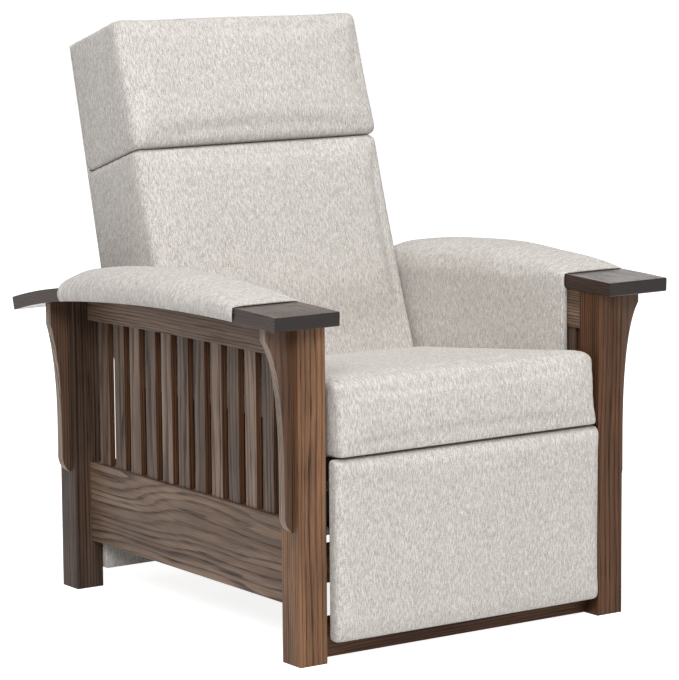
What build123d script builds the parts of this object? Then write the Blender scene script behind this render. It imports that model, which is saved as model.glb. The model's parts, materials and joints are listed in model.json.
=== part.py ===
from build123d import *
import os
from math import cos, radians, sin, sqrt

# Reclining armchair with square posts, slatted sides and bowed arms. Millimetres, +Z up, front at -Y.
# It is drawn with y = 0 at the front face of the front posts and moved to its middle when written.

# Frame of posts and rails
post_size = 57.15
width_over_posts = 714.8
depth_over_posts = 818.6
post_edge_round = 2.5
rail_thickness = 22.2
rail_setback = 32.6
rail_edge_round = 1.5
lower_rail_bottom = 91.5
lower_rail_height = 153.0
upper_rail_crest = 527.0
upper_rail_bow_radius = 18600.0
slat_width = 35.6
slat_thickness = 11.2
slats_per_side = 12
slat_rear_inset = 10.0

# Bowed arms
arm_thickness = 25.0
arm_outer_overhang = 70.8
arm_inner_overhang = 4.7
arm_front_overhang = 36.5
arm_rear_overhang = 41.0
arm_crest_behind_front = 170.0
arm_underside_crest = 599.5
arm_bow_radius = 4600.0
arm_droop_behind_crest = 470.0
arm_droop_radius = 1415.0
arm_edge_round = 3.0

# Corbels under the arms
corbel_thickness = 17.5
corbel_waist = 16.5
corbel_foot_height = 36.0
corbel_foot_bulge = 6.0
front_corbel_reach = 52.0
front_corbel_land = 26.0
front_corbel_turn = 50.0
front_corbel_hollow_length = 240.0
front_corbel_length = 363.0
rear_corbel_reach = 36.5
rear_corbel_land = 40.0
rear_corbel_turn = 70.0
rear_corbel_hollow_length = 190.0
rear_corbel_length = 326.0

# Base between the posts
front_stretcher_lift = 1.5
front_stretcher_height = 68.4
front_stretcher_setback = 33.9
cross_rail_height = 68.5
front_cross_rail_back = 190.0
rear_stretcher_lift = 36.0
rear_stretcher_height = 70.0
rear_stretcher_inset = 13.0
rear_cover_thickness = 8.0
rear_cover_height = 205.0

# Glide tracks and shoes
track_end_reach = 40.0
rear_shoe_to_rail = 80.0
track_width = 24.6
track_height = 27.0
track_wall = 2.5
shoe_clearance = 0.3
shoe_length = 30.0
shoe_height = 17.0
front_shoe_back = 300.0
rear_shoe_inset = 35.0
screw_head_radius = 4.0
screw_head_height = 2.0
screw_shank_radius = 2.2
screw_length = 20.0
screw_fit = 0.05

# Seat frame, tilted down to the rear
seat_angle = 6.0
seat_frame_crest = 358.0
seat_frame_front = 27.0
seat_frame_tail = 48.0
seat_rail_height = 45.0
seat_front_rail_height = 58.0
seat_rail_thickness = 22.0
side_plate_offset = 258.0
plate_thickness = 3.0
plate_gap = 0.5
plate_margin = 2.0
leg_width = 26.0
strap_width = 50.0
strap_thickness = 2.0
seat_straps = 5

# Upholstery of the seat
seat_half_width = 285.0
seat_front_proud = 20.0
seat_depth = 527.0
seat_thickness = 131.0
seat_crown = 8.0
seat_corner = 11.0
seat_pull_in = 3.0
seat_nose = 17.0
seat_rear_nose = 10.0
soft_clearance = 0.4
nose_steps = 3
pad_stations = 7
pad_facets = 14
pad_square = 8.0
pad_dome = 2.7
length_steps = 6
end_pinch_share = 0.25

# Back, reclined and tapered towards the top
back_angle = 18.25
back_face_gap = 26.0
back_face_height = 438.0
back_tail = 36.0
back_height = 675.0
seam_height = 428.0
seam_gap = 1.0
back_depth_bottom = 215.0
back_depth_top = 164.0
lumbar_half_width = 280.0
pillow_half_width = 280.0
pillow_proud = 9.0
back_crown = 7.0
back_corner = 13.0
back_pull_in = 2.5
back_nose = 12.0
back_cover_thickness = 8.0
back_cover_inset = 6.0
back_frame_front = 96.0
back_frame_half_width = 254.5
back_board_thickness = 22.0
back_board_stop = 34.0
back_rail_height = 60.0
back_straps = 6
back_pocket_clearance = 0.6
back_pivot_setback = 52.0
back_pivot_height = 340.0
bracket_low = 10.0
bracket_rise = 92.0
bracket_depth = 58.0
bracket_front_gap = 16.0

# Arm upholstery
pad_front_back = 92.0
pad_rear_back = 686.0
pad_side_cover = 6.2
pad_crown = 34.0
pad_thin = 4.0
pad_rise = 300.0
pad_rear_drop = 9.0
pad_rear_slope = 170.0
pad_round = 26.0
panel_thickness = 13.8
panel_front_back = 92.0
panel_rear_back = 700.0
panel_bottom = 405.0
panel_round = 4.0
panel_top_gap = 0.5

# Boards that close the sides behind the slats
liner_thickness = 12.0
liner_overlap = 68.5

# Footrest panel, hanging closed
footrest_half_width = 290.5
footrest_bottom = 36.0
footrest_top = 356.5
footrest_proud = 20.0
footrest_depth = 31.0
footrest_crown = 4.0
footrest_corner = 9.0
footrest_pull_in = 1.0
footrest_nose = 9.0
footrest_board_thickness = 12.0
footrest_board_inset = 8.0

# Footrest links, folded: places are (depth behind the front post face, height)
link_half_width = 9.0
tilt_link_half_width = 7.5
pin_radius = 4.0
running_fit = 0.05
open_pivot_fit = 0.6
control_eye_radius = 11.5
control_eye_shift = 2.6
control_eye_play = 3.3
cross_tube_radius = 7.0
cross_tube_wall = 1.5
cross_tube_lug = 3.0
lift_pivot = (92.0, 328.0)
elbow_pivot = (92.0, 156.0)
footrest_pivot = (32.0, 292.0)
tilt_lower_pivot = (123.0, 138.9)
tilt_upper_pivot = (62.0, 276.0)
control_pivot = (133.5, 328.0)
control_end = (113.5, 141.4)
cross_tube_place = (98.0, 236.0)
bracket_flange_width = 26.0
bracket_flange_height = 120.0
pivot_boss_radius = 14.0
back_pin_radius = 5.0

# Derived places
half_width = width_over_posts / 2
post_inner = half_width - post_size
post_rear_front = depth_over_posts - post_size
rail_outer = half_width - rail_setback
rail_inner = rail_outer - rail_thickness
lower_rail_top = lower_rail_bottom + lower_rail_height
cross_rail_top = lower_rail_bottom + cross_rail_height
seat_cushion_rear = seat_depth - seat_front_proud
seat_frame_rear = seat_cushion_rear + seat_frame_tail
rear_shoe_back = seat_frame_rear - rear_shoe_inset
rear_cross_rail_back = rear_shoe_back + rear_shoe_to_rail
track_length = rear_cross_rail_back - front_cross_rail_back + 2 * track_end_reach
back_face_front = seat_cushion_rear + back_face_gap
back_bottom = back_face_height - back_tail
back_pivot_back = back_face_front + back_pivot_setback
arm_outer = half_width + arm_outer_overhang
arm_inner = post_inner - arm_inner_overhang
arm_front = -arm_front_overhang
arm_rear = depth_over_posts + arm_rear_overhang
pad_outer = arm_outer + pad_side_cover
pad_inner = rail_inner - panel_thickness
droop_start = arm_crest_behind_front + arm_droop_behind_crest
back_taper = (back_depth_bottom - back_depth_top) / back_height
lift_layer = side_plate_offset + plate_thickness + plate_gap
reach_layer = lift_layer + plate_thickness + plate_gap
control_layer = reach_layer + plate_thickness + plate_gap
back_bracket_layer = side_plate_offset - plate_gap - plate_thickness
shoe_bottom = cross_rail_top + track_wall + shoe_clearance
leg_bottom = shoe_bottom + shoe_height / 3

seat_frame = Pos(0, 0, seat_frame_crest) * Rot(-seat_angle, 0, 0)
recline = radians(back_angle)
nodes = {}


def block(x_range, y_range, z_range):
    """Rectangular block between three pairs of limits."""
    limits = (x_range, y_range, z_range)
    sizes = [high - low for low, high in limits]
    middle = [(high + low) / 2 for low, high in limits]
    return Pos(*middle) * Box(*sizes)


def side_slab(outline, x_low, x_high):
    """Slab with a side-view outline in Y and Z, between two widths."""
    return extrude(Plane.YZ.offset(x_low) * outline, x_high - x_low)


def polygon(*points):
    """Flat face through corner points."""
    return make_face(Polyline(*points, close=True))


def both_sides(name, solid):
    """Keeps a right-hand piece and its mirror image as two nodes."""
    nodes[name + "_right"] = solid
    nodes[name + "_left"] = mirror(solid, about=Plane.YZ)


def pair(solids):
    """Right-hand solids and their mirror images, as one group."""
    return Compound(solids + [mirror(solid, about=Plane.YZ) for solid in solids])


def eased(solid, axis, radius):
    """Solid with the edges along one axis rounded."""
    return fillet(solid.edges().filter_by(axis), radius)


# Curve of the arm's underside: a long bow that meets a tighter droop at the rear
bow_centre = Vector(arm_crest_behind_front, arm_underside_crest - arm_bow_radius)


def on_arc(centre, radius, y, rise):
    """Point of an upper arc at depth y, raised square to the arc."""
    height = sqrt(radius**2 - (y - centre.X) ** 2)
    scale = (radius + rise) / radius
    return Vector(centre.X + (y - centre.X) * scale, centre.Y + height * scale)


droop_corner = on_arc(bow_centre, arm_bow_radius, droop_start, 0)
droop_centre = droop_corner + (bow_centre - droop_corner) * (arm_droop_radius / arm_bow_radius)


def arm_point(y, rise=0):
    """Point on the arm's underside at depth y, raised square to it."""
    if y <= droop_start:
        return on_arc(bow_centre, arm_bow_radius, y, rise)
    return on_arc(droop_centre, arm_droop_radius, y, rise)


def arm_arcs(y_front, y_rear, rise=0):
    """Arcs along the arm's underside between two depths, raised square to it."""
    stops = [y_front, y_rear]
    if y_front < droop_start < y_rear:
        stops.insert(1, droop_start)
    arcs = []
    for start, end in zip(stops, stops[1:]):
        middle = arm_point((start + end) / 2, rise)
        arcs.append(ThreePointArc(arm_point(start, rise), middle, arm_point(end, rise)))
    return arcs


def under_arm(y_front, y_rear, bottom, drop=0):
    """Side-view face from a bottom height up to the arm's underside."""
    arcs = arm_arcs(y_front, y_rear, -drop)
    front, rear = arm_point(y_front, -drop), arm_point(y_rear, -drop)
    ends = Polyline(front, (front.X, bottom), (rear.X, bottom), rear)
    return make_face(arcs + [ends])


def rail_height(y):
    """Height of the upper side rail's bowed bottom edge."""
    return upper_rail_crest - (y - arm_crest_behind_front) ** 2 / (2 * upper_rail_bow_radius)


below_arms = side_slab(under_arm(arm_front, arm_rear, -post_size), 0, arm_outer)


def make_posts():
    """Four square posts whose tops follow the arms."""
    for name, front in (("front_post", 0), ("rear_post", post_rear_front)):
        post = block((post_inner, half_width), (front, front + post_size), (0, arm_underside_crest))
        both_sides(name, eased(post, Axis.Z, post_edge_round) & below_arms)


def corbel_outline(top, reach, land, turn, hollow_length, length):
    """Outline of a corbel: a short land, a hollow sweep to the waist and a rounded foot."""
    face = half_width
    tip = top - length
    hollow_top = Vector(face + reach, top - land)
    hollow_turn = Vector(face + corbel_waist, hollow_top.Y - turn)
    hollow_end = Vector(face + corbel_waist, hollow_top.Y - hollow_length)
    foot = Vector(face + corbel_waist, tip + corbel_foot_height)
    foot_middle = (foot + Vector(face, tip)) / 2 + Vector(corbel_foot_bulge, 0)
    crown = arm_underside_crest
    return make_face(
        [
            Polyline((face, tip), (face, crown), (face + reach, crown), hollow_top),
            Bezier(hollow_top, hollow_turn, hollow_end),
            Line(hollow_end, foot),
            ThreePointArc(foot, foot_middle, (face, tip)),
        ]
    )


def make_corbels():
    """Corbels centred on the outer faces of the posts."""
    sizes = {
        "front_corbel": (
            0,
            front_corbel_reach,
            front_corbel_land,
            front_corbel_turn,
            front_corbel_hollow_length,
            front_corbel_length,
        ),
        "rear_corbel": (
            post_rear_front,
            rear_corbel_reach,
            rear_corbel_land,
            rear_corbel_turn,
            rear_corbel_hollow_length,
            rear_corbel_length,
        ),
    }
    for name, (post_front, *profile) in sizes.items():
        middle = post_front + post_size / 2
        outline = corbel_outline(arm_point(middle).Y, *profile)
        solid = Pos(0, middle, 0) * extrude(Plane.XZ * outline, corbel_thickness / 2, both=True)
        both_sides(name, solid & below_arms)


def make_side_rails():
    """Lower and upper side rails between the posts."""
    y_range = (post_size, post_rear_front)
    lower = block((rail_inner, rail_outer), y_range, (lower_rail_bottom, lower_rail_top))
    both_sides("lower_side_rail", eased(lower, Axis.Y, rail_edge_round))
    middle = (post_size + post_rear_front) / 2
    bottom = ThreePointArc(*[(y, rail_height(y)) for y in (post_size, middle, post_rear_front)])
    sides = [Line((y, rail_height(y)), arm_point(y)) for y in y_range]
    upper = side_slab(make_face([bottom, *arm_arcs(*y_range), *sides]), rail_inner, rail_outer)
    both_sides("upper_side_rail", upper)


def make_slats():
    """Evenly spaced slats between the two side rails, a little wider apart from the rear post."""
    room = post_rear_front - post_size - slat_rear_inset
    gap = (room - slats_per_side * slat_width) / (slats_per_side + 1)
    middle = (rail_inner + rail_outer) / 2
    x_range = (middle - slat_thickness / 2, middle + slat_thickness / 2)
    slats = []
    for index in range(slats_per_side):
        front = post_size + gap + index * (slat_width + gap)
        rear = front + slat_width
        ends = ((rear, rail_height(rear)), (front, rail_height(front)))
        outline = polygon((front, lower_rail_top), (rear, lower_rail_top), *ends)
        slats.append(side_slab(outline, *x_range))
    both_sides("side_slats", Compound(slats))


def arm_board_outline():
    """Side view of a bowed arm board, its ends square to the bow."""
    ends = [Line(arm_point(y), arm_point(y, arm_thickness)) for y in (arm_front, arm_rear)]
    return make_face(arm_arcs(arm_front, arm_rear) + arm_arcs(arm_front, arm_rear, arm_thickness) + ends)


def make_arm_boards():
    """Bowed arm boards with softened edges."""
    board = side_slab(arm_board_outline(), arm_inner, arm_outer)
    corners = board.edges().filter_by(Axis.X).sort_by(Axis.Y)
    softened = fillet(corners[:2] + corners[-2:], arm_edge_round)
    both_sides("arm_board", softened)


def pad_crown_at(y):
    """Height of an arm pad above its board: a long rise from the front and a gentle fall at the rear."""
    rise = sin(radians(90 * min((y - pad_front_back) / pad_rise, 1)))
    fall = pad_rear_drop * max((y - pad_rear_back + pad_rear_slope) / pad_rear_slope, 0) ** 2
    return pad_thin + (pad_crown - pad_thin) * rise - fall


def pad_section(y, crown):
    """Crosswise outline of an arm pad at depth y: square where it is thin, domed where it is full."""
    bottom = arm_point(y).Y
    middle, half = (pad_inner + pad_outer) / 2, (pad_outer - pad_inner) / 2
    flatness = 2 / (pad_square + (pad_dome - pad_square) * min(crown / arm_thickness, 1))
    points = []
    for index in range(pad_facets + 1):
        turn = radians(180 * index / pad_facets)
        side = abs(cos(turn)) ** flatness * (1 if cos(turn) > 0 else -1)
        points.append((middle + half * side, bottom + (arm_thickness + crown) * abs(sin(turn)) ** flatness))
    return Pos(0, y, 0) * (Plane.XZ * polygon(*points))


def make_arm_pads():
    """Padded fabric wrapped over each arm board, thin at its front and crowned behind."""
    start, end = pad_front_back, pad_rear_back - pad_round
    places = [start + (end - start) * index / pad_stations for index in range(pad_stations + 1)]
    sections = [pad_section(y, pad_crown_at(y)) for y in places]
    for index in range(1, nose_steps + 1):
        turn = radians(90 * index / nose_steps)
        full = pad_crown_at(end)
        crown = pad_thin + (full - pad_thin) * cos(turn)
        sections.append(pad_section(end + pad_round * sin(turn), crown))
    pad = loft(sections, ruled=True)
    both_sides("arm_pad", pad - side_slab(arm_board_outline(), arm_inner, arm_outer) - below_arms)


def make_arm_panels():
    """Upholstered panels inside the arms, down past the seat."""
    outline = under_arm(panel_front_back, panel_rear_back, panel_bottom, panel_top_gap)
    panel = side_slab(outline, pad_inner, rail_inner)
    inner_edges = panel.faces().sort_by(Axis.X)[0].edges()
    both_sides("arm_inner_panel", fillet(inner_edges, panel_round))


def make_side_liners():
    """Boards inside the lower side rails and the slats, up to the arm panels."""
    heights = (lower_rail_top - liner_overlap, panel_bottom)
    liner = block((rail_inner - liner_thickness, rail_inner), (panel_front_back, panel_rear_back), heights)
    nodes["side_liners"] = pair([liner])


def make_base():
    """Stretchers, cross rails and the rear cover panel."""
    posts = (-post_inner, post_inner)
    rails = (-rail_inner, rail_inner)
    front = (front_stretcher_setback, front_stretcher_setback + rail_thickness)
    heights = (front_stretcher_lift, front_stretcher_lift + front_stretcher_height)
    nodes["front_stretcher"] = eased(block(posts, front, heights), Axis.X, rail_edge_round)
    for name, back in (("front_cross_rail", front_cross_rail_back), ("rear_cross_rail", rear_cross_rail_back)):
        nodes[name] = block(rails, (back, back + rail_thickness), (lower_rail_bottom, cross_rail_top))
    stretcher_front = post_rear_front - rear_stretcher_inset
    stretcher_rear = stretcher_front + rail_thickness
    heights = (rear_stretcher_lift, rear_stretcher_lift + rear_stretcher_height)
    nodes["rear_stretcher"] = block(posts, (stretcher_front, stretcher_rear), heights)
    heights = (rear_stretcher_lift, rear_stretcher_lift + rear_cover_height)
    cover = block(posts, (stretcher_rear, stretcher_rear + rear_cover_thickness), heights)
    nodes["rear_cover_panel"] = cover


def make_tracks():
    """Steel channels on the cross rails, screwed down, open upwards for the glide shoes."""
    middle = side_plate_offset + plate_thickness / 2
    front = front_cross_rail_back - track_end_reach
    y_range = (front, front + track_length)
    outer = (middle - track_width / 2, middle + track_width / 2)
    inner = (outer[0] + track_wall, outer[1] - track_wall)
    floor = cross_rail_top + track_wall
    channel = block(outer, y_range, (cross_rail_top, cross_rail_top + track_height))
    channel -= block(inner, y_range, (floor, cross_rail_top + track_height))
    screws = []
    for back in (front_cross_rail_back, rear_cross_rail_back):
        place = Pos(middle, back + rail_thickness / 2, floor)
        shank = place * Cylinder(screw_shank_radius, screw_length, align=(Align.CENTER, Align.CENTER, Align.MAX))
        head = place * Cylinder(screw_head_radius, screw_head_height, align=(Align.CENTER, Align.CENTER, Align.MIN))
        hole = place * Cylinder(screw_shank_radius + screw_fit, 2 * screw_length)
        channel -= hole
        for name in ("front_cross_rail", "rear_cross_rail"):
            nodes[name] = nodes[name] - hole - mirror(hole, about=Plane.YZ)
        screws.append(shank + head)
    both_sides("glide_track", channel)
    nodes["track_screws"] = pair(screws)


def make_shoes():
    """Nylon shoes on the legs of the side plates, running inside the tracks."""
    middle = side_plate_offset + plate_thickness / 2
    reach = track_width / 2 - track_wall - shoe_clearance
    leg = (side_plate_offset, side_plate_offset + plate_thickness)
    shoes = []
    for back in (front_shoe_back, rear_shoe_back):
        y_range = (back - shoe_length / 2, back + shoe_length / 2)
        shoe = block((middle - reach, middle + reach), y_range, (shoe_bottom, shoe_bottom + shoe_height))
        slot = block(leg, (back - leg_width / 2, back + leg_width / 2), (leg_bottom, shoe_bottom + shoe_height))
        shoes.append(shoe - slot)
    nodes["glide_shoes"] = pair(shoes)


def seat_point(back, rise):
    """Depth and height of a place on the tilted seat frame."""
    place = seat_frame * Pos(0, back, rise)
    return (place.position.Y, place.position.Z)


def eye(place, radius):
    """Round end of a link in side view."""
    return Pos(*place) * Circle(radius)


def bar(places, half):
    """Flat bar in side view that joins places in turn, with round ends."""
    outline = eye(places[0], half)
    for start, end in zip(places, places[1:]):
        start, end = Vector(*start), Vector(*end)
        across = (end - start).normalized().rotate(Axis.Z, 90) * half
        outline += polygon(start + across, start - across, end - across, end + across)
        outline += eye(tuple(end)[:2], half)
    return outline


def pin(place, x_low, x_high, radius=pin_radius):
    """Pivot pin along X at a side-view place."""
    return side_slab(eye(place, radius), x_low, x_high)


def make_seat_frame():
    """Wooden seat frame with webbing, and the steel plates that carry it."""
    inside = side_plate_offset - seat_rail_thickness
    length = (seat_frame_front, seat_frame_rear)
    rail = block((inside, side_plate_offset), length, (-seat_rail_height, 0))
    both_sides("seat_side_rail", seat_frame * rail)
    front = (seat_frame_front, seat_frame_front + seat_rail_thickness)
    rear = (seat_frame_rear - seat_rail_thickness, seat_frame_rear)
    across = (-inside, inside)
    nodes["seat_front_rail"] = seat_frame * block(across, front, (-seat_front_rail_height, 0))
    nodes["seat_rear_rail"] = seat_frame * block(across, rear, (-seat_rail_height, 0))
    pitch = 2 * inside / seat_straps
    straps = []
    for index in range(seat_straps):
        middle = -inside + (index + 0.5) * pitch
        x_range = (middle - strap_width / 2, middle + strap_width / 2)
        straps.append(seat_frame * block(x_range, length, (0, strap_thickness)))
    nodes["seat_webbing"] = Compound(straps)

    corners = [(seat_frame_front, -plate_margin), (seat_frame_rear, -plate_margin)]
    corners += [(back, -seat_rail_height + plate_margin) for back, _ in reversed(corners)]
    outline = polygon(*[seat_point(*corner) for corner in corners])
    for back in (front_shoe_back, rear_shoe_back):
        top = seat_point(back, -seat_rail_height / 2)[1]
        sides = (back - leg_width / 2, back + leg_width / 2)
        outline += polygon((sides[0], leg_bottom), (sides[1], leg_bottom), (sides[1], top), (sides[0], top))
    ear = (back_pivot_back, back_pivot_height)
    root = [seat_point(back, -seat_rail_height / 2) for back in (rear_shoe_back, seat_frame_rear)]
    outline += bar([root[0], root[1], ear], pivot_boss_radius)
    plate = side_slab(outline, side_plate_offset, side_plate_offset + plate_thickness)
    for place in (lift_pivot, control_pivot):
        plate -= pin(place, 0, half_width)
    plate -= pin(ear, 0, half_width, back_pin_radius)
    both_sides("seat_side_plate", plate)
    pins = [
        pin(lift_pivot, side_plate_offset, lift_layer + plate_thickness),
        pin(control_pivot, side_plate_offset, control_layer + plate_thickness),
        pin(ear, back_bracket_layer, side_plate_offset + plate_thickness, back_pin_radius),
    ]
    nodes["seat_pivot_pins"] = pair(pins)


def cushion_outline(half, back, face, crown, corner, pull_in):
    """Outline across a cushion: flat back, pulled-in sides, round corners, crowned face."""
    knee = corner * (1 - sqrt(0.5))
    side = face - corner
    edges = [Line((-half, back), (half, back))]
    for sign in (1, -1):
        middle = (sign * (half - pull_in), (back + side) / 2)
        edges.append(ThreePointArc((sign * half, back), middle, (sign * half, side)))
        bend = (sign * (half - knee), face - knee)
        edges.append(ThreePointArc((sign * half, side), bend, (sign * (half - corner), face)))
    edges.append(ThreePointArc((corner - half, face), (0, face + crown), (half - corner, face)))
    return make_face(edges)


def rounded_steps(low, high, low_nose, high_nose):
    """Stations between two ends: each a length, the inset of its rounded end and its share of the crown."""
    steps = []
    angles = [radians(90 * index / nose_steps) for index in range(nose_steps)]
    for angle in angles:
        steps.append((low + low_nose * (1 - cos(angle)), low_nose * (1 - sin(angle))))
    start, end = low + low_nose, high - high_nose
    for index in range(length_steps + 1):
        steps.append((start + (end - start) * index / length_steps, 0))
    for angle in reversed(angles):
        steps.append((high - high_nose * (1 - cos(angle)), high_nose * (1 - sin(angle))))
    middle, reach = (low + high) / 2, (high - low) / 2
    return [(length, inset, 1 - ((length - middle) / reach) ** 2) for length, inset in steps]


def cushion(steps, half, backs, face, crown, corner, pull_in):
    """Loft along +Z through stations, its flat rear between a place at the low and one at the high end."""
    low, high = steps[0][0], steps[-1][0]
    sections = []
    for length, inset, share in steps:
        back = backs[0] + (backs[1] - backs[0]) * (length - low) / (high - low)
        half_here = half - end_pinch_share * inset
        outline = cushion_outline(half_here, back, face - inset, crown * (1 + share) / 2, corner, pull_in)
        sections.append(Pos(0, 0, length) * outline)
    return loft(sections, ruled=True)


def make_seat_cushion():
    """Box seat cushion with a crowned top and a rounded front edge."""
    base = strap_thickness + soft_clearance
    steps = rounded_steps(-seat_cushion_rear, seat_front_proud, seat_rear_nose, seat_nose)
    face = base + seat_thickness
    solid = cushion(steps, seat_half_width, (base, base), face, seat_crown, seat_corner, seat_pull_in)
    length_forward = Plane((0, 0, 0), x_dir=(1, 0, 0), z_dir=(0, -1, 0))
    nodes["seat_cushion"] = seat_frame * (length_forward.location * solid)


def back_point(behind, up):
    """Depth and height of a place on the reclined back."""
    y = back_face_front + behind * cos(recline) + up * sin(recline)
    z = back_face_height - behind * sin(recline) + up * cos(recline)
    return Vector(y, z)


def rear_of_back(up):
    """Distance from the face plane of the back to its rear at a height."""
    return back_depth_bottom - back_taper * up


def back_frame_face(up):
    """Distance from the face plane of the back to the front of its frame."""
    return back_frame_front - back_taper * up / 2


def upright_slab(x_low, x_high, up_low, up_high, front_gap, rear_gap):
    """Slab of the back between the front of its frame and its rear cover."""
    corners = []
    for up in (up_low, up_high):
        front = back_point(back_frame_face(up) + front_gap, up)
        rear = back_point(rear_of_back(up) - back_cover_thickness - rear_gap, up)
        corners += [front, rear] if up == up_low else [rear, front]
    return side_slab(polygon(*corners), x_low, x_high)


def level_cut(height):
    """Block that removes all of the back below a height."""
    reach = back_depth_bottom + back_height
    y_range = (back_face_front - reach, back_face_front + reach)
    return block((-half_width, half_width), y_range, (height - reach, height))


def make_back_frame():
    """Side boards, rails, webbing and rear cover of the back."""
    low, high = -back_depth_bottom / 2, back_height - back_board_stop
    outer = back_frame_half_width
    inner = outer - back_board_thickness
    board_bottom = level_cut(back_bottom + back_board_stop / 4)
    board = upright_slab(inner, outer, low, high, strap_thickness, 0) - board_bottom
    both_sides("back_side_board", board)
    top_rail = upright_slab(-inner, inner, high - back_rail_height, high, strap_thickness, 0)
    nodes["back_top_rail"] = top_rail
    rail_bottom = back_bottom + back_board_stop / 4
    bottom_rail = upright_slab(-inner, inner, low, high, strap_thickness, 0) - board_bottom
    nodes["back_bottom_rail"] = bottom_rail & block(
        (-inner, inner),
        (back_face_front, back_face_front + 2 * back_depth_bottom),
        (rail_bottom, rail_bottom + back_rail_height),
    )
    straps = []
    pitch = (high - back_rail_height - back_board_stop) / back_straps
    for index in range(back_straps):
        start = back_board_stop + back_rail_height / 2 + index * pitch
        ends = (start, start + strap_width)
        faces = [back_point(back_frame_face(up), up) for up in ends]
        backs = [back_point(back_frame_face(up) + strap_thickness, up) for up in reversed(ends)]
        straps.append(side_slab(polygon(*faces, *backs), -outer, outer))
    nodes["back_webbing"] = Compound(straps)

    corners = [back_point(rear_of_back(up) - back_cover_thickness, up) for up in (low, back_height)]
    corners += [back_point(rear_of_back(up), up) for up in (back_height, low)]
    half = lumbar_half_width - back_cover_inset
    cover = side_slab(polygon(*corners), -half, half) - level_cut(back_bottom)
    nodes["back_rear_cover"] = cover


def make_back_brackets():
    """Steel brackets that hang the back on the pivots of the seat plates."""
    ear = Vector(back_pivot_back, back_pivot_height)
    front, rear = bracket_front_gap, bracket_front_gap + bracket_depth
    low, high = bracket_low, bracket_low + bracket_rise
    places = [(front, low), (rear, low), (rear, high), (front, high)]
    outline = polygon(*[back_point(back_frame_face(0) + behind, up) for behind, up in places])
    for behind in (front + pivot_boss_radius, rear - pivot_boss_radius):
        foot = back_point(back_frame_face(0) + behind, low + pivot_boss_radius)
        outline += bar([ear, foot], pivot_boss_radius)
    bracket = side_slab(outline, back_bracket_layer, back_bracket_layer + plate_thickness)
    bracket -= pin(ear, 0, half_width, back_pin_radius + running_fit)
    both_sides("back_bracket", bracket)


def back_cushion(low, high, half, proud):
    """One crowned cushion of the back between two heights, with a pocket for the frame."""
    origin = (0, *tuple(back_point(0, 0))[:2])
    along_back = Plane(origin, x_dir=(-1, 0, 0), z_dir=(0, sin(recline), cos(recline)))
    steps = rounded_steps(low, high, back_nose, back_nose)
    rears = [back_cover_thickness + soft_clearance - rear_of_back(up) for up in (low, high)]
    solid = along_back.location * cushion(steps, half, rears, proud, back_crown, back_corner, back_pull_in)
    reach = side_plate_offset
    top = back_height - back_board_stop + back_pocket_clearance
    return solid - upright_slab(-reach, reach, -back_height, top, -back_pocket_clearance, -back_nose)


def make_back_cushions():
    """Lumbar cushion and head pillow, parted by a seam."""
    gap = seam_gap / 2
    lumbar = back_cushion(-back_depth_bottom / 2, seam_height - gap, lumbar_half_width, 0)
    nodes["lumbar_cushion"] = lumbar - level_cut(back_bottom)
    nodes["head_pillow"] = back_cushion(seam_height + gap, back_height, pillow_half_width, pillow_proud)


def flat_link(places, layer, half=link_half_width):
    """Flat steel link in one layer of the linkage."""
    return side_slab(bar(places, half), layer, layer + plate_thickness)


def make_links():
    """Folded footrest linkage: lift, reach, tilt and control links with their pins."""
    lift = flat_link([lift_pivot, elbow_pivot, tilt_lower_pivot], lift_layer)
    lift += pin(cross_tube_place, lift_layer, lift_layer + plate_thickness, cross_tube_radius + cross_tube_lug)
    lift -= pin(lift_pivot, 0, half_width, pin_radius + running_fit)
    lift -= pin(elbow_pivot, 0, half_width) + pin(tilt_lower_pivot, 0, half_width)
    nodes["lift_links"] = pair([lift])
    tube = pin(cross_tube_place, -lift_layer, lift_layer, cross_tube_radius)
    bore = cross_tube_radius - cross_tube_wall
    nodes["cross_tube"] = tube - pin(cross_tube_place, -lift_layer, lift_layer, bore)
    elbow = pin(elbow_pivot, lift_layer, reach_layer + plate_thickness)
    lower = pin(tilt_lower_pivot, side_plate_offset, lift_layer + plate_thickness)
    nodes["lift_link_pins"] = pair([elbow, lower])

    reach = flat_link([control_end, elbow_pivot, footrest_pivot], reach_layer)
    reach -= pin(elbow_pivot, 0, half_width, pin_radius + running_fit)
    reach -= pin(footrest_pivot, 0, half_width) + pin(control_end, 0, half_width)
    nodes["reach_links"] = pair([reach])
    upper = pin(footrest_pivot, lift_layer, reach_layer + plate_thickness)
    end = pin(control_end, reach_layer, control_layer + plate_thickness)
    nodes["reach_link_pins"] = pair([upper, end])

    tilt = flat_link([tilt_lower_pivot, tilt_upper_pivot], side_plate_offset, tilt_link_half_width)
    tilt -= pin(tilt_lower_pivot, 0, half_width, pin_radius + running_fit)
    tilt -= pin(tilt_upper_pivot, 0, half_width, pin_radius + open_pivot_fit)
    nodes["tilt_links"] = pair([tilt])

    end = Vector(*control_end)
    across = (end - Vector(*control_pivot)).normalized().rotate(Axis.Z, 90)
    window = tuple(end + across * control_eye_shift)[:2]
    control = flat_link([control_pivot, window], control_layer)
    control += pin(window, control_layer, control_layer + plate_thickness, control_eye_radius)
    control -= pin(control_pivot, 0, half_width, pin_radius + running_fit)
    control -= pin(window, 0, half_width, pin_radius + control_eye_play)
    nodes["control_links"] = pair([control])


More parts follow.
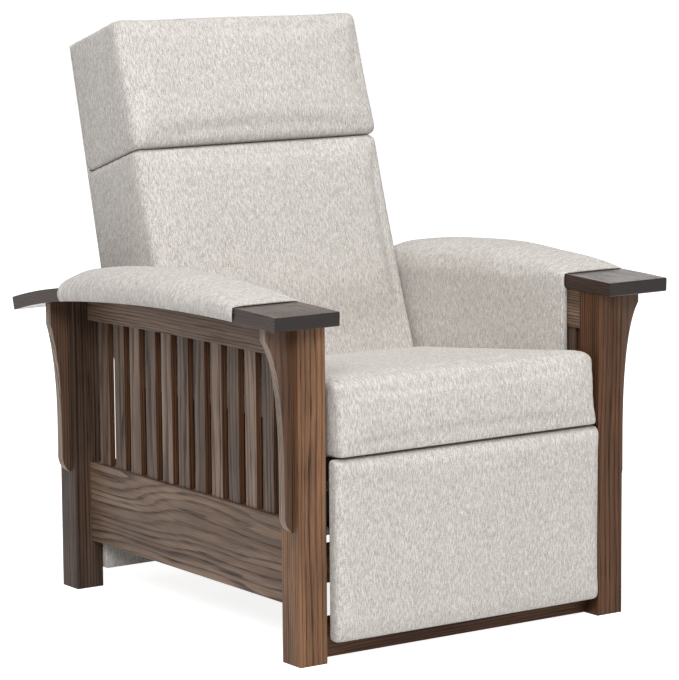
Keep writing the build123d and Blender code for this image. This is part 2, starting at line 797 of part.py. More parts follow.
def make_footrest():
    """Footrest board in its padded cover, with the brackets that hang it on the links."""
    rear = footrest_depth - footrest_proud
    board_front = rear - footrest_board_thickness
    edge = footrest_board_inset
    x_range = (edge - footrest_half_width, footrest_half_width - edge)
    z_range = (footrest_bottom + edge, footrest_top - edge)
    board = block(x_range, (board_front, rear), z_range)
    nodes["footrest_board"] = board
    steps = rounded_steps(footrest_bottom, footrest_top, footrest_nose, footrest_nose)
    face = footrest_proud - footrest_crown
    half = footrest_half_width
    solid = cushion(steps, half, (-rear, -rear), face, footrest_crown, footrest_corner, footrest_pull_in)
    upright = Plane((0, 0, 0), x_dir=(-1, 0, 0), z_dir=(0, 0, 1))
    nodes["footrest_pad"] = upright.location * solid - board

    flange_top = footrest_pivot[1] + link_half_width
    flange = block(
        (lift_layer + plate_thickness - bracket_flange_width, lift_layer + plate_thickness),
        (rear, rear + plate_thickness),
        (flange_top - bracket_flange_height, flange_top),
    )
    foot = (rear + link_half_width, footrest_pivot[1])
    heel = (rear + link_half_width, flange_top - bracket_flange_height + link_half_width)
    web = bar([foot, footrest_pivot, tilt_upper_pivot, heel, foot], link_half_width)
    web += polygon(foot, footrest_pivot, tilt_upper_pivot, heel)
    web = side_slab(web, lift_layer, lift_layer + plate_thickness)
    web -= pin(footrest_pivot, 0, half_width, pin_radius + running_fit)
    web -= pin(tilt_upper_pivot, 0, half_width)
    nodes["footrest_brackets"] = pair([web + flange])
    nodes["footrest_bracket_pins"] = pair([pin(tilt_upper_pivot, side_plate_offset, lift_layer + plate_thickness)])


def make_parts():
    """Builds every piece into nodes."""
    make_posts()
    make_corbels()
    make_side_rails()
    make_slats()
    make_arm_boards()
    make_arm_pads()
    make_arm_panels()
    make_side_liners()
    make_base()
    make_tracks()
    make_shoes()
    make_seat_frame()
    make_seat_cushion()
    make_back_frame()
    make_back_brackets()
    make_back_cushions()
    make_links()
    make_footrest()


def write_parts():
    """Moves the chair over the middle of its own length and depth, and writes each node."""
    front = arm_point(arm_front, arm_thickness).X
    rear = back_point(rear_of_back(back_height), back_height).X
    to_middle = Pos(0, -(front + rear) / 2, 0)
    print("front", round(front, 3), "rear", round(rear, 3), "shift", round(-(front + rear) / 2, 4))
    os.makedirs("parts", exist_ok=True)
    for name, shape in nodes.items():
        solids = [to_middle * solid for solid in shape.solids()]
        export_step(Compound(solids), f"parts/{name}.step")


make_parts()
write_parts()
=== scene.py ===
"""Looks of a mission reclining armchair: stained wood, slub-woven cloth, black steel linkage and studio."""

from __future__ import annotations

import json
import logging
import math
from collections.abc import Callable, Iterable, Sequence
from dataclasses import dataclass, field, replace
from enum import Enum

import bpy
import numpy as np
from mathutils import Matrix, Vector

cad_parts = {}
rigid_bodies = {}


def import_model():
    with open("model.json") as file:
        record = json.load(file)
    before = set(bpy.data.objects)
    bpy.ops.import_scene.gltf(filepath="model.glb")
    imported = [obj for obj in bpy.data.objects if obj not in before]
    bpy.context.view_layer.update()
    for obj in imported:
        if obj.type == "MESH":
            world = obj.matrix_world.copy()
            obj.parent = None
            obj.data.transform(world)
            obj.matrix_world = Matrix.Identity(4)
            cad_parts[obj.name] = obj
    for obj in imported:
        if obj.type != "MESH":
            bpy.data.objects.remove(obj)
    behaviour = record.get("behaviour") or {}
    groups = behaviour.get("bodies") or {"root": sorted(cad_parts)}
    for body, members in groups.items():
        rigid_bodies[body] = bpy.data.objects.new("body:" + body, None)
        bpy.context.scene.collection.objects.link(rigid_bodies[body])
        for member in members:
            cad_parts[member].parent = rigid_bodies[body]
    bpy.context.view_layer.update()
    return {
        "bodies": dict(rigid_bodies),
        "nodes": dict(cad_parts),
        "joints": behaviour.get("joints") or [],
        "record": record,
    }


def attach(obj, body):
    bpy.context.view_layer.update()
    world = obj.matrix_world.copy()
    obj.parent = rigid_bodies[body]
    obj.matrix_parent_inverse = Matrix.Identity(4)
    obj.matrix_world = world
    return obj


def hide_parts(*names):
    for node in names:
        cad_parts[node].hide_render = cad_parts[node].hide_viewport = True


LOG = logging.getLogger("chair")
FIRST_SLAT = 0.36386
END_SHIFT = 3.0
STRAP_MIDDLE = 0.5
STRAP_SHIFT = 0.137
MERGED = 0.00001
LEAST = 0.0004
WHITE = (1.0, 1.0, 1.0)
WARM = (1.0, 0.99, 0.98)
OUTWARD = (bpy.ops.mesh.normals_make_consistent, {"inside": False})
Point = tuple[float, float, float]
Colour = tuple[float, float, float]
Array = np.ndarray
Reach = Callable[[Array, Array], Array]
Socket = bpy.types.NodeSocket
Material = bpy.types.Material
Piece = bpy.types.Object


def tone(red: int, green: int, blue: int) -> Colour:
    """Linear colour of a display colour given as 0 to 255."""
    shares = (red / 255, green / 255, blue / 255)
    return tuple(((c + 0.055) / 1.055) ** 2.4 if c > 0.04045 else c / 12.92 for c in shares)


class Way(Enum):
    """Direction in which the grain of a wooden piece runs."""

    UPRIGHT = (0.0, 0.0, 0.0)
    LENGTHWISE = (math.pi / 2, 0.0, 0.0)
    CROSSWISE = (0.0, math.pi / 2, 0.0)


class Body(Enum):
    """Bodies of the chair that carry new pieces."""

    FRAME = "chair_frame"
    SEAT = "seat"
    BACK = "back"
    FOOTREST = "footrest"


# Shader graph helpers


class Graph:
    """A node tree with short calls to add and join nodes."""

    def __init__(self, tree: bpy.types.NodeTree) -> None:
        """Keeps the tree that nodes are added to."""
        self.tree = tree

    def add(self, kind: str, inputs: dict | None = None, **settings: object) -> bpy.types.Node:
        """Adds one node.

        Args:
            kind: Blender's name of the node type.
            inputs: socket name or number to a value or an output socket.
            settings: properties of the node.

        Returns:
            The node.
        """
        node = self.tree.nodes.new(kind)
        for key, value in settings.items():
            setattr(node, key, value)
        self.give(node, inputs or {})
        return node

    def feed(self, socket: Socket, value: object) -> None:
        """Gives a socket a constant, or joins an output to it."""
        if isinstance(value, Socket):
            self.tree.links.new(value, socket)
        elif isinstance(value, tuple) and len(value) == 3 and socket.type == "RGBA":
            socket.default_value = (*value, 1.0)
        else:
            socket.default_value = value

    def math(self, operation: str, *values: object, clamp: bool = False) -> Socket:
        """Adds a Math node and returns its output."""
        node = self.add("ShaderNodeMath", operation=operation, use_clamp=clamp)
        for socket, value in zip(node.inputs, values):
            self.feed(socket, value)
        return node.outputs[0]

    def vector(self, operation: str, *values: object) -> Socket:
        """Adds a Vector Math node and returns its vector output."""
        node = self.add("ShaderNodeVectorMath", operation=operation)
        for socket, value in zip(node.inputs, values):
            self.feed(socket, value)
        return node.outputs[0]

    def times(self, first: object, second: object) -> Socket:
        """Product of two values."""
        return self.math("MULTIPLY", first, second)

    def own_place(self) -> Socket:
        """Place of a point in the piece's own coordinates."""
        return self.add("ShaderNodeTexCoord").outputs["Object"]

    def noise(self, vector: object, scale: object, detail: float = 2.0, rough: float = 0.5) -> Socket:
        """Adds a Noise Texture and returns its value."""
        inputs = {"Vector": vector, "Scale": scale, "Detail": detail, "Roughness": rough}
        return self.add("ShaderNodeTexNoise", inputs).outputs[0]

    def stretch(self, vector: object, scale: Point, turn: Point = (0, 0, 0)) -> Socket:
        """Adds a Mapping node and returns its output."""
        inputs = {"Vector": vector, "Rotation": turn, "Scale": scale}
        return self.add("ShaderNodeMapping", inputs).outputs[0]

    def range(
        self, value: object, low: float, high: float, to_low: float = 0.0, to_high: float = 1.0
    ) -> Socket:
        """Adds a clamped, smooth Map Range node and returns its output."""
        inputs = {"Value": value, "From Min": low, "From Max": high, "To Min": to_low, "To Max": to_high}
        return self.add("ShaderNodeMapRange", inputs, interpolation_type="SMOOTHSTEP").outputs[0]

    def line(self, value: object, slope: float, start: object = 0.0) -> Socket:
        """Start plus slope times a value."""
        return self.math("ADD", start, self.times(value, slope))

    def parts(self, vector: object) -> bpy.types.NodeOutputs:
        """X, Y and Z of a vector."""
        return self.add("ShaderNodeSeparateXYZ", {0: vector}).outputs

    def own_number(self, value: object) -> Socket:
        """A random number from 0 to 1 that belongs to a value."""
        return self.add("ShaderNodeTexWhiteNoise", {"W": value}, noise_dimensions="1D").outputs["Value"]

    def bump(self, strength: float, distance: float, height: Socket, **normal: Socket) -> Socket:
        """Normal that follows a height, on top of the one given as Normal."""
        inputs = {"Strength": strength, "Distance": distance, "Height": height, **normal}
        return self.add("ShaderNodeBump", inputs).outputs[0]

    def give(self, node: bpy.types.Node, values: dict) -> None:
        """Feeds several named sockets of a node."""
        for label, value in values.items():
            self.feed(node.inputs[label], value)

    def seen(self) -> Socket:
        """1 for rays from the camera, a mirror or clear material, 0 for the rest."""
        rays = self.add("ShaderNodeLightPath").outputs
        seen = self.math("MAXIMUM", rays["Is Camera Ray"], rays["Is Glossy Ray"])
        return self.math("MAXIMUM", seen, rays["Is Transmission Ray"])

    def mix(self, share: object, first: object, second: object, blend: str = "MIX") -> Socket:
        """Mixes two colours and returns the result."""
        node = self.add("ShaderNodeMix", data_type="RGBA", blend_type=blend)
        for index, value in ((0, share), (6, first), (7, second)):
            self.feed(node.inputs[index], value)
        return node.outputs[2]


class Group(Graph):
    """A shader node group with named sockets."""

    def __init__(self, name: str, inputs: dict[str, object], outputs: dict[str, str]) -> None:
        """Makes the group.

        Args:
            name: name of the group.
            inputs: name of each input to its default, where None is a vector.
            outputs: name of each output to its kind, Float, Color or Vector.
        """
        super().__init__(bpy.data.node_groups.new(name, "ShaderNodeTree"))
        for label, value in inputs.items():
            kind = "NodeSocketVector" if value is None else "NodeSocketFloat"
            socket = self.tree.interface.new_socket(label, in_out="INPUT", socket_type=kind)
            if value is not None:
                socket.default_value = value
        for label, kind in outputs.items():
            self.tree.interface.new_socket(label, in_out="OUTPUT", socket_type=f"NodeSocket{kind}")
        self.inlet = self.tree.nodes.new("NodeGroupInput").outputs
        self.outlet = self.tree.nodes.new("NodeGroupOutput").inputs

    def give_out(self, **values: Socket) -> Group:
        """Joins the outputs and returns the finished group."""
        for label, value in values.items():
            self.feed(self.outlet[label], value)
        return self

    def place(self, graph: Graph, **inputs: object) -> bpy.types.NodeOutputs:
        """Puts the group in another tree with its own values and returns its outputs."""
        node = graph.add("ShaderNodeGroup", node_tree=self.tree)
        for key, value in inputs.items():
            graph.feed(node.inputs[key.capitalize()], value)
        return node.outputs


class Effects:
    """The shader groups that several finishes share."""

    def __init__(self) -> None:
        """Builds each group once."""
        self.grain = self._grain()
        self.weave = self._weave()
        self.edges = self._edges()
        self.dust = self._dust()

    @staticmethod
    def _grain() -> Group:
        """Growth rings, pores and figure of ring-porous wood that runs along local Z."""
        group = Group(
            "Open grain",
            {"Place": None, "Heart": None, "Pitch": 0.0045, "Wander": 0.010, "Seed": 0.0},
            {"Ring": "Float", "Pore": "Float", "Figure": "Float", "Height": "Float"},
        )
        inlet = group.inlet
        seed = group.add("ShaderNodeCombineXYZ", dict.fromkeys((0, 1, 2), inlet["Seed"])).outputs[0]
        place = group.vector("ADD", inlet["Place"], seed)
        loose = {"Vector": group.stretch(place, (1, 1, 0.2)), "Scale": 8.0, "Detail": 2.0, "Roughness": 0.4}
        drift = group.add("ShaderNodeTexNoise", loose)
        wander = group.add("ShaderNodeVectorMath", operation="SCALE")
        group.feed(wander.inputs[0], group.vector("SUBTRACT", drift.outputs["Color"], (0.5, 0.5, 0.5)))
        group.feed(wander.inputs["Scale"], group.times(inlet["Wander"], 5.0))
        shifted = group.vector("ADD", inlet["Place"], wander.outputs[0])
        flat = group.vector("MULTIPLY", group.vector("SUBTRACT", shifted, inlet["Heart"]), (1, 1, 0.035))
        reach = group.add("ShaderNodeVectorMath", {0: flat}, operation="LENGTH")
        turns = group.math("DIVIDE", reach.outputs["Value"], inlet["Pitch"])
        uneven = group.times(group.noise(group.stretch(place, (1, 1, 0.03)), 60.0), 1.6)
        count = group.math("ADD", turns, uneven)
        share = group.math("FRACT", count)
        ring = group.math("FLOOR", count)
        own = group.own_number(ring)
        early = group.times(group.range(share, 0.42, 0.84), group.range(share, 1.0, 0.92))
        early = group.times(early, group.line(own, 0.45, 0.55))
        fine = group.noise(group.stretch(place, (1, 1, 0.018)), 900.0, 1.0)
        early = group.times(early, group.line(group.range(fine, 0.35, 0.6), 0.4, 0.6))
        late = group.math("ADD", early, 0.35)
        pores = group.math("MULTIPLY", group.range(fine, 0.50, 0.66), late, clamp=True)
        figure = group.noise(group.stretch(place, (1, 1, 0.10)), 30.0, 4.0, 0.6)
        height = group.line(pores, -0.6, group.times(early, -0.4))
        return group.give_out(Ring=early, Pore=pores, Figure=figure, Height=height)

    @staticmethod
    def _weave() -> Group:
        """Heathered plain weave with slubs along V; Place is the cloth's own U and V in metres."""
        group = Group(
            "Slub weave",
            {"Place": None, "Thread": 0.0011, "Slub": 0.011},
            {"Heather": "Float", "Fleck": "Float", "Height": "Float"},
        )
        inlet = group.inlet
        across, along, _ = group.parts(inlet["Place"])

        def streaks(width: float, length: float, seed: float, detail: float) -> Socket:
            """Noise drawn out along the cloth."""
            u = group.math("DIVIDE", across, group.times(inlet["Thread"], width))
            v = group.math("DIVIDE", along, group.times(inlet["Slub"], length))
            place = group.add("ShaderNodeCombineXYZ", {0: u, 1: v, 2: seed}).outputs[0]
            return group.noise(place, 1.0, detail, 0.6)

        yarn, slub = streaks(0.9, 0.10, 3.1, 1.0), streaks(1.1, 0.9, 9.7, 1.0)
        heather = group.line(slub, 0.4, group.times(yarn, 0.6))
        fleck = group.range(streaks(0.8, 0.4, 17.9, 1.0), 0.60, 0.74)
        waves = []
        for axis in (across, along):
            turn = group.times(group.math("DIVIDE", axis, inlet["Thread"]), math.pi)
            waves.append(group.math("ABSOLUTE", group.math("SINE", turn)))
        threads = group.times(group.math("ADD", *waves), 0.3)
        height = group.line(heather, 0.9, threads)
        return group.give_out(Heather=group.range(heather, 0.42, 0.58), Fleck=fleck, Height=height)

    @staticmethod
    def _edges() -> Group:
        """Rounded normal and a mask of the corner edges of a solid."""
        group = Group("Eased edges", {"Radius": 0.0015}, {"Edge": "Float", "Normal": "Vector"})
        bevel = group.add("ShaderNodeBevel", {"Radius": group.inlet["Radius"]}, samples=4)
        flat = group.add("ShaderNodeNewGeometry").outputs["Normal"]
        dot = group.add("ShaderNodeVectorMath", {0: bevel.outputs[0], 1: flat}, operation="DOT_PRODUCT")
        edge = group.range(dot.outputs["Value"], 0.995, 0.84)
        return group.give_out(Edge=edge, Normal=bevel.outputs[0])

    @staticmethod
    def _dust() -> Group:
        """Faint uneven film that dulls a surface in broad patches."""
        group = Group("Handling film", {"Place": None, "Size": 0.05}, {"Film": "Float"})
        scale = group.math("DIVIDE", 1.0, group.inlet["Size"])
        return group.give_out(Film=group.range(group.noise(group.inlet["Place"], scale, 4.0), 0.35, 0.7))


# Finishes


def blank(name: str) -> tuple[Material, Graph, bpy.types.Node]:
    """Starts a node material and returns it, its graph and its Principled BSDF."""
    material = bpy.data.materials.new(name)
    material.use_nodes = True
    graph = Graph(material.node_tree)
    return material, graph, material.node_tree.nodes["Principled BSDF"]


@dataclass(frozen=True)
class WoodFinish:
    """Stained open-grained wood under satin lacquer."""

    name: str
    line: Colour
    light: Colour
    mid: Colour
    pitch: float = 0.0052
    wander: float = 0.007
    roughness: float = 0.34
    pore_depth: float = 0.00016
    gloss: float = 0.13
    edge_tint: float = 0.3
    # Painted shade: a darker colour for the faces that look along Y, or None.
    y_face_shade: Colour | None = None

    def make(self, effects: Effects, way: Way, heart: Point, slat_pitch: float = 0.0) -> Material:
        """Builds the material for one grain direction.

        Args:
            effects: the shared shader groups.
            way: direction of the grain.
            heart: place of the tree's heart in the grain's own coordinates.
            slat_pitch: spacing of repeated slats along Y, each of which gets its own board, or 0.

        Returns:
            The material. Faces along Y take the finish's painted shade colour, where it has one.
        """
        material, graph, shader = blank(f"{self.name}_{way.name.lower()}_{hash_of(heart):03d}")
        place = graph.own_place()
        seed: object = 0.0
        if slat_pitch:
            x, y, _ = graph.parts(place)
            row = graph.math("DIVIDE", graph.math("ADD", y, FIRST_SLAT), slat_pitch)
            index = graph.line(graph.math("SIGN", x), 20.0, graph.math("FLOOR", row))
            board = graph.own_number(index)
            seed = graph.times(board, 7.0)
        turned = graph.stretch(place, (1, 1, 1), way.value)
        ring = {"pitch": self.pitch, "wander": self.wander}
        grain = effects.grain.place(graph, place=turned, heart=heart, seed=seed, **ring)
        film = effects.dust.place(graph, place=place, size=0.07)
        edge = effects.edges.place(graph, radius=0.0016)
        base = graph.mix(graph.range(grain["Figure"], 0.30, 0.70), self.mid, self.light)
        if slat_pitch:
            shade = graph.range(board, 0.0, 1.0, 0.7, 1.3)
            grey = graph.add("ShaderNodeCombineColor", dict.fromkeys((0, 1, 2), shade)).outputs[0]
            base = graph.mix(1.0, base, grey, "MULTIPLY")
        # Painted shade: faces that look along Y are mixed towards the darker colour.
        if self.y_face_shade:
            facing = graph.parts(graph.add("ShaderNodeTexCoord").outputs["Normal"])
            y_shade_share = graph.range(graph.math("ABSOLUTE", facing[1]), 0.6, 0.8)
            base = graph.mix(graph.times(y_shade_share, 0.85), base, self.y_face_shade)
        dark = graph.math("MAXIMUM", grain["Ring"], grain["Pore"])
        dark = graph.math("MAXIMUM", dark, graph.times(edge["Edge"], self.edge_tint))
        rough = graph.line(film["Film"], 0.07, graph.line(grain["Pore"], 0.2, self.roughness))
        normal = graph.bump(0.8, self.pore_depth, grain["Height"], Normal=edge["Normal"])
        graph.give(shader, {"Base Color": graph.mix(dark, base, self.line), "Roughness": rough})
        graph.give(shader, {"Normal": normal, "Specular IOR Level": self.gloss})
        return material


def hash_of(place: Point) -> int:
    """A small steady number for a place, to tell materials apart."""
    return int(sum(abs(c) * k for c, k in zip(place, (1009, 757, 313)))) % 1000


@dataclass(frozen=True)
class ClothFinish:
    """Slub-woven upholstery cloth with a heathered yarn."""

    name: str
    dark: Colour
    light: Colour
    fleck: Colour
    thread: float = 0.0011
    slub: float = 0.011
    relief: float = 0.00035

    def make(self, effects: Effects) -> Material:
        """Builds the material, which reads the piece's own UV map named cloth."""
        material, graph, shader = blank(self.name)
        place = graph.add("ShaderNodeUVMap", uv_map="cloth").outputs[0]
        weave = effects.weave.place(graph, place=place, thread=self.thread, slub=self.slub)
        film = effects.dust.place(graph, place=graph.own_place(), size=0.16)
        base = graph.mix(weave["Heather"], self.dark, self.light)
        base = graph.mix(graph.times(weave["Fleck"], 0.5), base, self.fleck)
        base = graph.mix(graph.times(film["Film"], 0.08), base, self.dark)
        graph.give(shader, {"Base Color": base, "Roughness": graph.line(weave["Heather"], 0.08, 0.86)})
        normal = graph.bump(0.6, self.relief, weave["Height"])
        graph.give(shader, {"Normal": normal, "Specular IOR Level": 0.2})
        graph.give(shader, {"Sheen Weight": 0.12, "Sheen Roughness": 0.5})
        return material


@dataclass(frozen=True)
class SteelFinish:
    """Steel, painted or plated, with fine scratches and rubbed edges."""

    name: str
    colour: Colour
    rubbed: Colour
    metallic: float
    roughness: float

    def make(self, effects: Effects) -> Material:
        """Builds the material."""
        material, graph, shader = blank(self.name)
        place = graph.own_place()
        film = effects.dust.place(graph, place=place, size=0.012)
        edge = effects.edges.place(graph, radius=0.0006)
        worn = graph.math("MULTIPLY", edge["Edge"], graph.range(film["Film"], 0.3, 0.9), clamp=True)
        scratch = graph.noise(graph.stretch(place, (60, 3, 3)), 40.0, 3.0)
        rough = graph.line(worn, -0.1, graph.line(scratch, 0.14, self.roughness))
        normal = graph.bump(0.25, 0.00008, scratch, Normal=edge["Normal"])
        graph.give(shader, {"Base Color": graph.mix(worn, self.colour, self.rubbed), "Roughness": rough})
        graph.give(shader, {"Metallic": self.metallic, "Normal": normal})
        return material


@dataclass(frozen=True)
class NylonFinish:
    """Moulded nylon with a faint grain."""

    name: str
    colour: Colour

    def make(self, effects: Effects) -> Material:
        """Builds the material."""
        material, graph, shader = blank(self.name)
        place = graph.own_place()
        film = effects.dust.place(graph, place=place, size=0.01)["Film"]
        darker = tuple(c * 0.8 for c in self.colour)
        graph.give(shader, {"Base Color": graph.mix(film, self.colour, darker)})
        graph.give(shader, {"Roughness": graph.line(film, 0.15, 0.45)})
        graph.give(shader, {"Normal": graph.bump(0.3, 0.00005, graph.noise(place, 900.0))})
        return material


@dataclass(frozen=True)
class StrapFinish:
    """Woven webbing with a plain weave relief and lighter stripes; reads the piece's own UV map named cloth.
    """

    name: str
    colour: Colour
    stripe: Colour

    def make(self, effects: Effects) -> Material:
        """Builds the material."""
        material, graph, shader = blank(self.name)
        place = graph.add("ShaderNodeUVMap", uv_map="cloth").outputs[0]
        weave = effects.weave.place(graph, place=place, thread=0.0016, slub=0.006)
        band = graph.math("PINGPONG", graph.parts(place)[0], 0.0125)
        lines = graph.times(graph.range(band, 0.0065, 0.007), graph.range(band, 0.0095, 0.009))
        base = graph.mix(lines, self.colour, self.stripe)
        base = graph.mix(graph.times(weave["Heather"], 0.4), base, self.stripe)
        graph.give(shader, {"Base Color": base, "Roughness": graph.line(lines, 0.08, 0.8)})
        graph.give(shader, {"Normal": graph.bump(0.8, 0.0004, weave["Height"])})
        return material


STAIN = WoodFinish("walnut_stain", tone(22, 14, 10), tone(140, 102, 74), tone(96, 69, 51), wander=0.003)
# Darker copy of the walnut stain: painted shade, on the right front post, the front stretcher and the side
# liners.
SHADE_STAIN = WoodFinish("painted_shade_stain", tone(26, 16, 11), tone(104, 71, 48), tone(74, 48, 31))
# Greyer stain of the side rails and slats: a painted sheen, the grey of white light reflected off faces that
# look sideways.
SIDE_SHEEN = WoodFinish("side_painted_sheen", tone(40, 29, 23), tone(142, 119, 102), tone(101, 81, 67), wander=0.005)
# Slats: the greyer painted sheen, with painted shade on faces that look along Y.
SLAT_SHEEN = replace(SIDE_SHEEN, name="slat_stain", light=tone(132, 112, 98), mid=tone(98, 80, 68), y_face_shade=tone(92, 60, 38))
# Corbels: a greyer copy as painted sheen, with painted shade on faces that look along Y.
CORBEL_SHEEN = WoodFinish("corbel_painted_sheen", tone(60, 50, 44), tone(156, 138, 125), tone(126, 109, 97), wander=0.004)
CORBEL_SHEEN_AND_SHADE = replace(CORBEL_SHEEN, y_face_shade=tone(90, 61, 41))
# Darker stain of the rear posts: painted shade, as in the shadow of the arm pads.
REAR_SHADE = WoodFinish("rear_stain", tone(24, 17, 13), tone(96, 77, 65), tone(62, 47, 38), wander=0.003)
POLISHED = WoodFinish("arm_stain", tone(22, 16, 13), tone(70, 50, 41), tone(52, 37, 30), roughness=0.2)
# Arm boards: painted shade on the board ends, which look along Y.
ARM = replace(POLISHED, gloss=0.24, y_face_shade=tone(20, 15, 13))
SAWN = WoodFinish("plain_hardwood", tone(150, 112, 72), tone(205, 172, 128), tone(184, 148, 104))
PLAIN = replace(SAWN, roughness=0.6)
CLOTH = ClothFinish("slub_cloth", tone(160, 154, 149), tone(224, 220, 215), tone(126, 119, 112))
PAINTED = SteelFinish("black_steel", tone(30, 30, 31), tone(120, 118, 116), 0.0, 0.34)
PLATED = SteelFinish("zinc_steel", tone(176, 176, 178), tone(205, 204, 202), 1.0, 0.3)
NYLON = NylonFinish("natural_nylon", tone(222, 219, 208))
STRAP = StrapFinish("webbing", tone(30, 29, 28), tone(150, 146, 138))


# Mesh helpers


def deselect() -> None:
    """Leaves edit mode and deselects everything."""
    if bpy.context.object and bpy.context.object.mode != "OBJECT":
        bpy.ops.object.mode_set(mode="OBJECT")
    bpy.ops.object.select_all(action="DESELECT")


def activate(piece: Piece) -> None:
    """Selects one object alone and makes it active."""
    deselect()
    piece.select_set(True)
    bpy.context.view_layer.objects.active = piece


def put(name: str, data: bpy.types.ID) -> Piece:
    """Adds a new object to the scene."""
    piece = bpy.data.objects.new(name, data)
    bpy.context.scene.collection.objects.link(piece)
    return piece


def read(items: Sequence, label: str, width: int = 1) -> Array:
    """One property of all items of a mesh: whole numbers, or rows of numbers where it is wider."""
    values = np.empty(len(items) * width, np.float32 if width > 1 else np.int32)
    items.foreach_get(label, values)
    return values.reshape(-1, width) if width > 1 else values


def points_of(mesh: bpy.types.Mesh) -> Array:
    """Vertex places of a mesh as an array of rows."""
    return read(mesh.vertices, "co", 3).astype(float)


def set_points(mesh: bpy.types.Mesh, places: Array) -> None:
    """Writes vertex places back to a mesh."""
    mesh.vertices.foreach_set("co", places.astype(np.float32).ravel())
    mesh.update()


def edit(piece: Piece, *steps: tuple[Callable, dict], mode: str = "VERT") -> None:
    """Runs mesh operators on all of a piece in edit mode.

    Args:
        piece: the mesh object.
        steps: each operator with its settings.
        mode: what is selected, VERT, EDGE or FACE.
    """
    activate(piece)
    bpy.ops.object.mode_set(mode="EDIT")
    bpy.ops.mesh.select_mode(type=mode)
    bpy.ops.mesh.select_all(action="SELECT")
    for operator, settings in steps:
        operator(**settings)
    bpy.ops.object.mode_set(mode="OBJECT")


def apply_modifier(piece: Piece, kind: str, **settings: object) -> None:
    """Adds one modifier with its settings and applies it."""
    activate(piece)
    modifier = piece.modifiers.new(kind.title(), kind)
    for key, value in settings.items():
        setattr(modifier, key, value)
    bpy.ops.object.modifier_apply(modifier=modifier.name)


@dataclass
class Padding:
    """Turns a closed block into a stuffed piece by a short cloth simulation."""

    voxel: float = 0.007
    pressure: float = 4.0
    steps: int = 14
    stiffness: float = 20.0
    bending: float = 2.0
    mass: float = 0.3
    damping: float = 2.0
    quality: int = 5
    smooth: int = 3
    held_inward: float = 0.9

    def fill(self, piece: Piece, reach: Reach) -> None:
        """Remeshes a closed block, lays the new mesh on it, swells it and subdivides it once.

        Args:
            piece: closed mesh object, a little smaller than the finished piece.
            reach: gives how far each vertex may move, from the places and the normals of all.
        """
        block = put(piece.name + "_block", piece.data.copy())
        activate(piece)
        piece.data.remesh_voxel_size = self.voxel
        piece.data.use_remesh_preserve_volume = False
        bpy.ops.object.voxel_remesh()
        apply_modifier(piece, "SMOOTH", factor=0.5, iterations=self.smooth)
        apply_modifier(piece, "SHRINKWRAP", target=block, wrap_method="NEAREST_SURFACEPOINT")
        bpy.data.objects.remove(block)
        self.swell(piece, reach)
        apply_modifier(piece, "SMOOTH", factor=0.4, iterations=1)
        self.finish(piece)

    @staticmethod
    def finish(piece: Piece) -> None:
        """Subdivides a piece once and shades it smooth."""
        apply_modifier(piece, "SUBSURF", levels=1, render_levels=1)
        bpy.ops.object.shade_smooth()

    def swell(self, piece: Piece, reach: Reach) -> None:
        """Runs the cloth simulation, then holds each vertex within its reach.

        Args:
            piece: closed mesh object.
            reach: gives how far each vertex may move, from the places and the normals of all.
        """
        start, normals = points_of(piece.data), normals_of(piece.data)
        limit = reach(start, normals)
        scene = bpy.context.scene
        modifier = piece.modifiers.new("Cloth", "CLOTH")
        cloth = modifier.settings
        cloth.quality, cloth.mass, cloth.air_damping = self.quality, self.mass, self.damping
        cloth.use_pressure, cloth.uniform_pressure_force = True, self.pressure
        cloth.tension_stiffness = cloth.compression_stiffness = self.stiffness
        cloth.shear_stiffness, cloth.bending_stiffness = self.stiffness * 0.6, self.bending
        cloth.effector_weights.gravity = 0.0
        modifier.collision_settings.use_self_collision = False
        modifier.point_cache.frame_start, modifier.point_cache.frame_end = 1, self.steps
        for step in range(1, self.steps + 1):
            scene.frame_set(step)
        activate(piece)
        bpy.ops.object.modifier_apply(modifier=modifier.name)
        scene.frame_set(1)
        moved = points_of(piece.data) - start
        inward = np.minimum((moved * normals).sum(1), 0.0)
        moved -= self.held_inward * inward[:, None] * normals
        length = np.maximum(np.linalg.norm(moved, axis=1), 1e-9)
        held = np.maximum(limit, 1e-6)
        set_points(piece.data, start + moved * (held * np.tanh(length / held) / length)[:, None])


def normals_of(mesh: bpy.types.Mesh) -> Array:
    """Vertex normals of a mesh as an array of rows."""
    return np.array([tuple(item.vector) for item in mesh.vertex_normals])


def ramp(values: Array, low: float, high: float) -> Array:
    """Smooth step from 0 at low to 1 at high."""
    share = np.clip((values - low) / (high - low), 0.0, 1.0)
    return share * share * (3.0 - 2.0 * share)


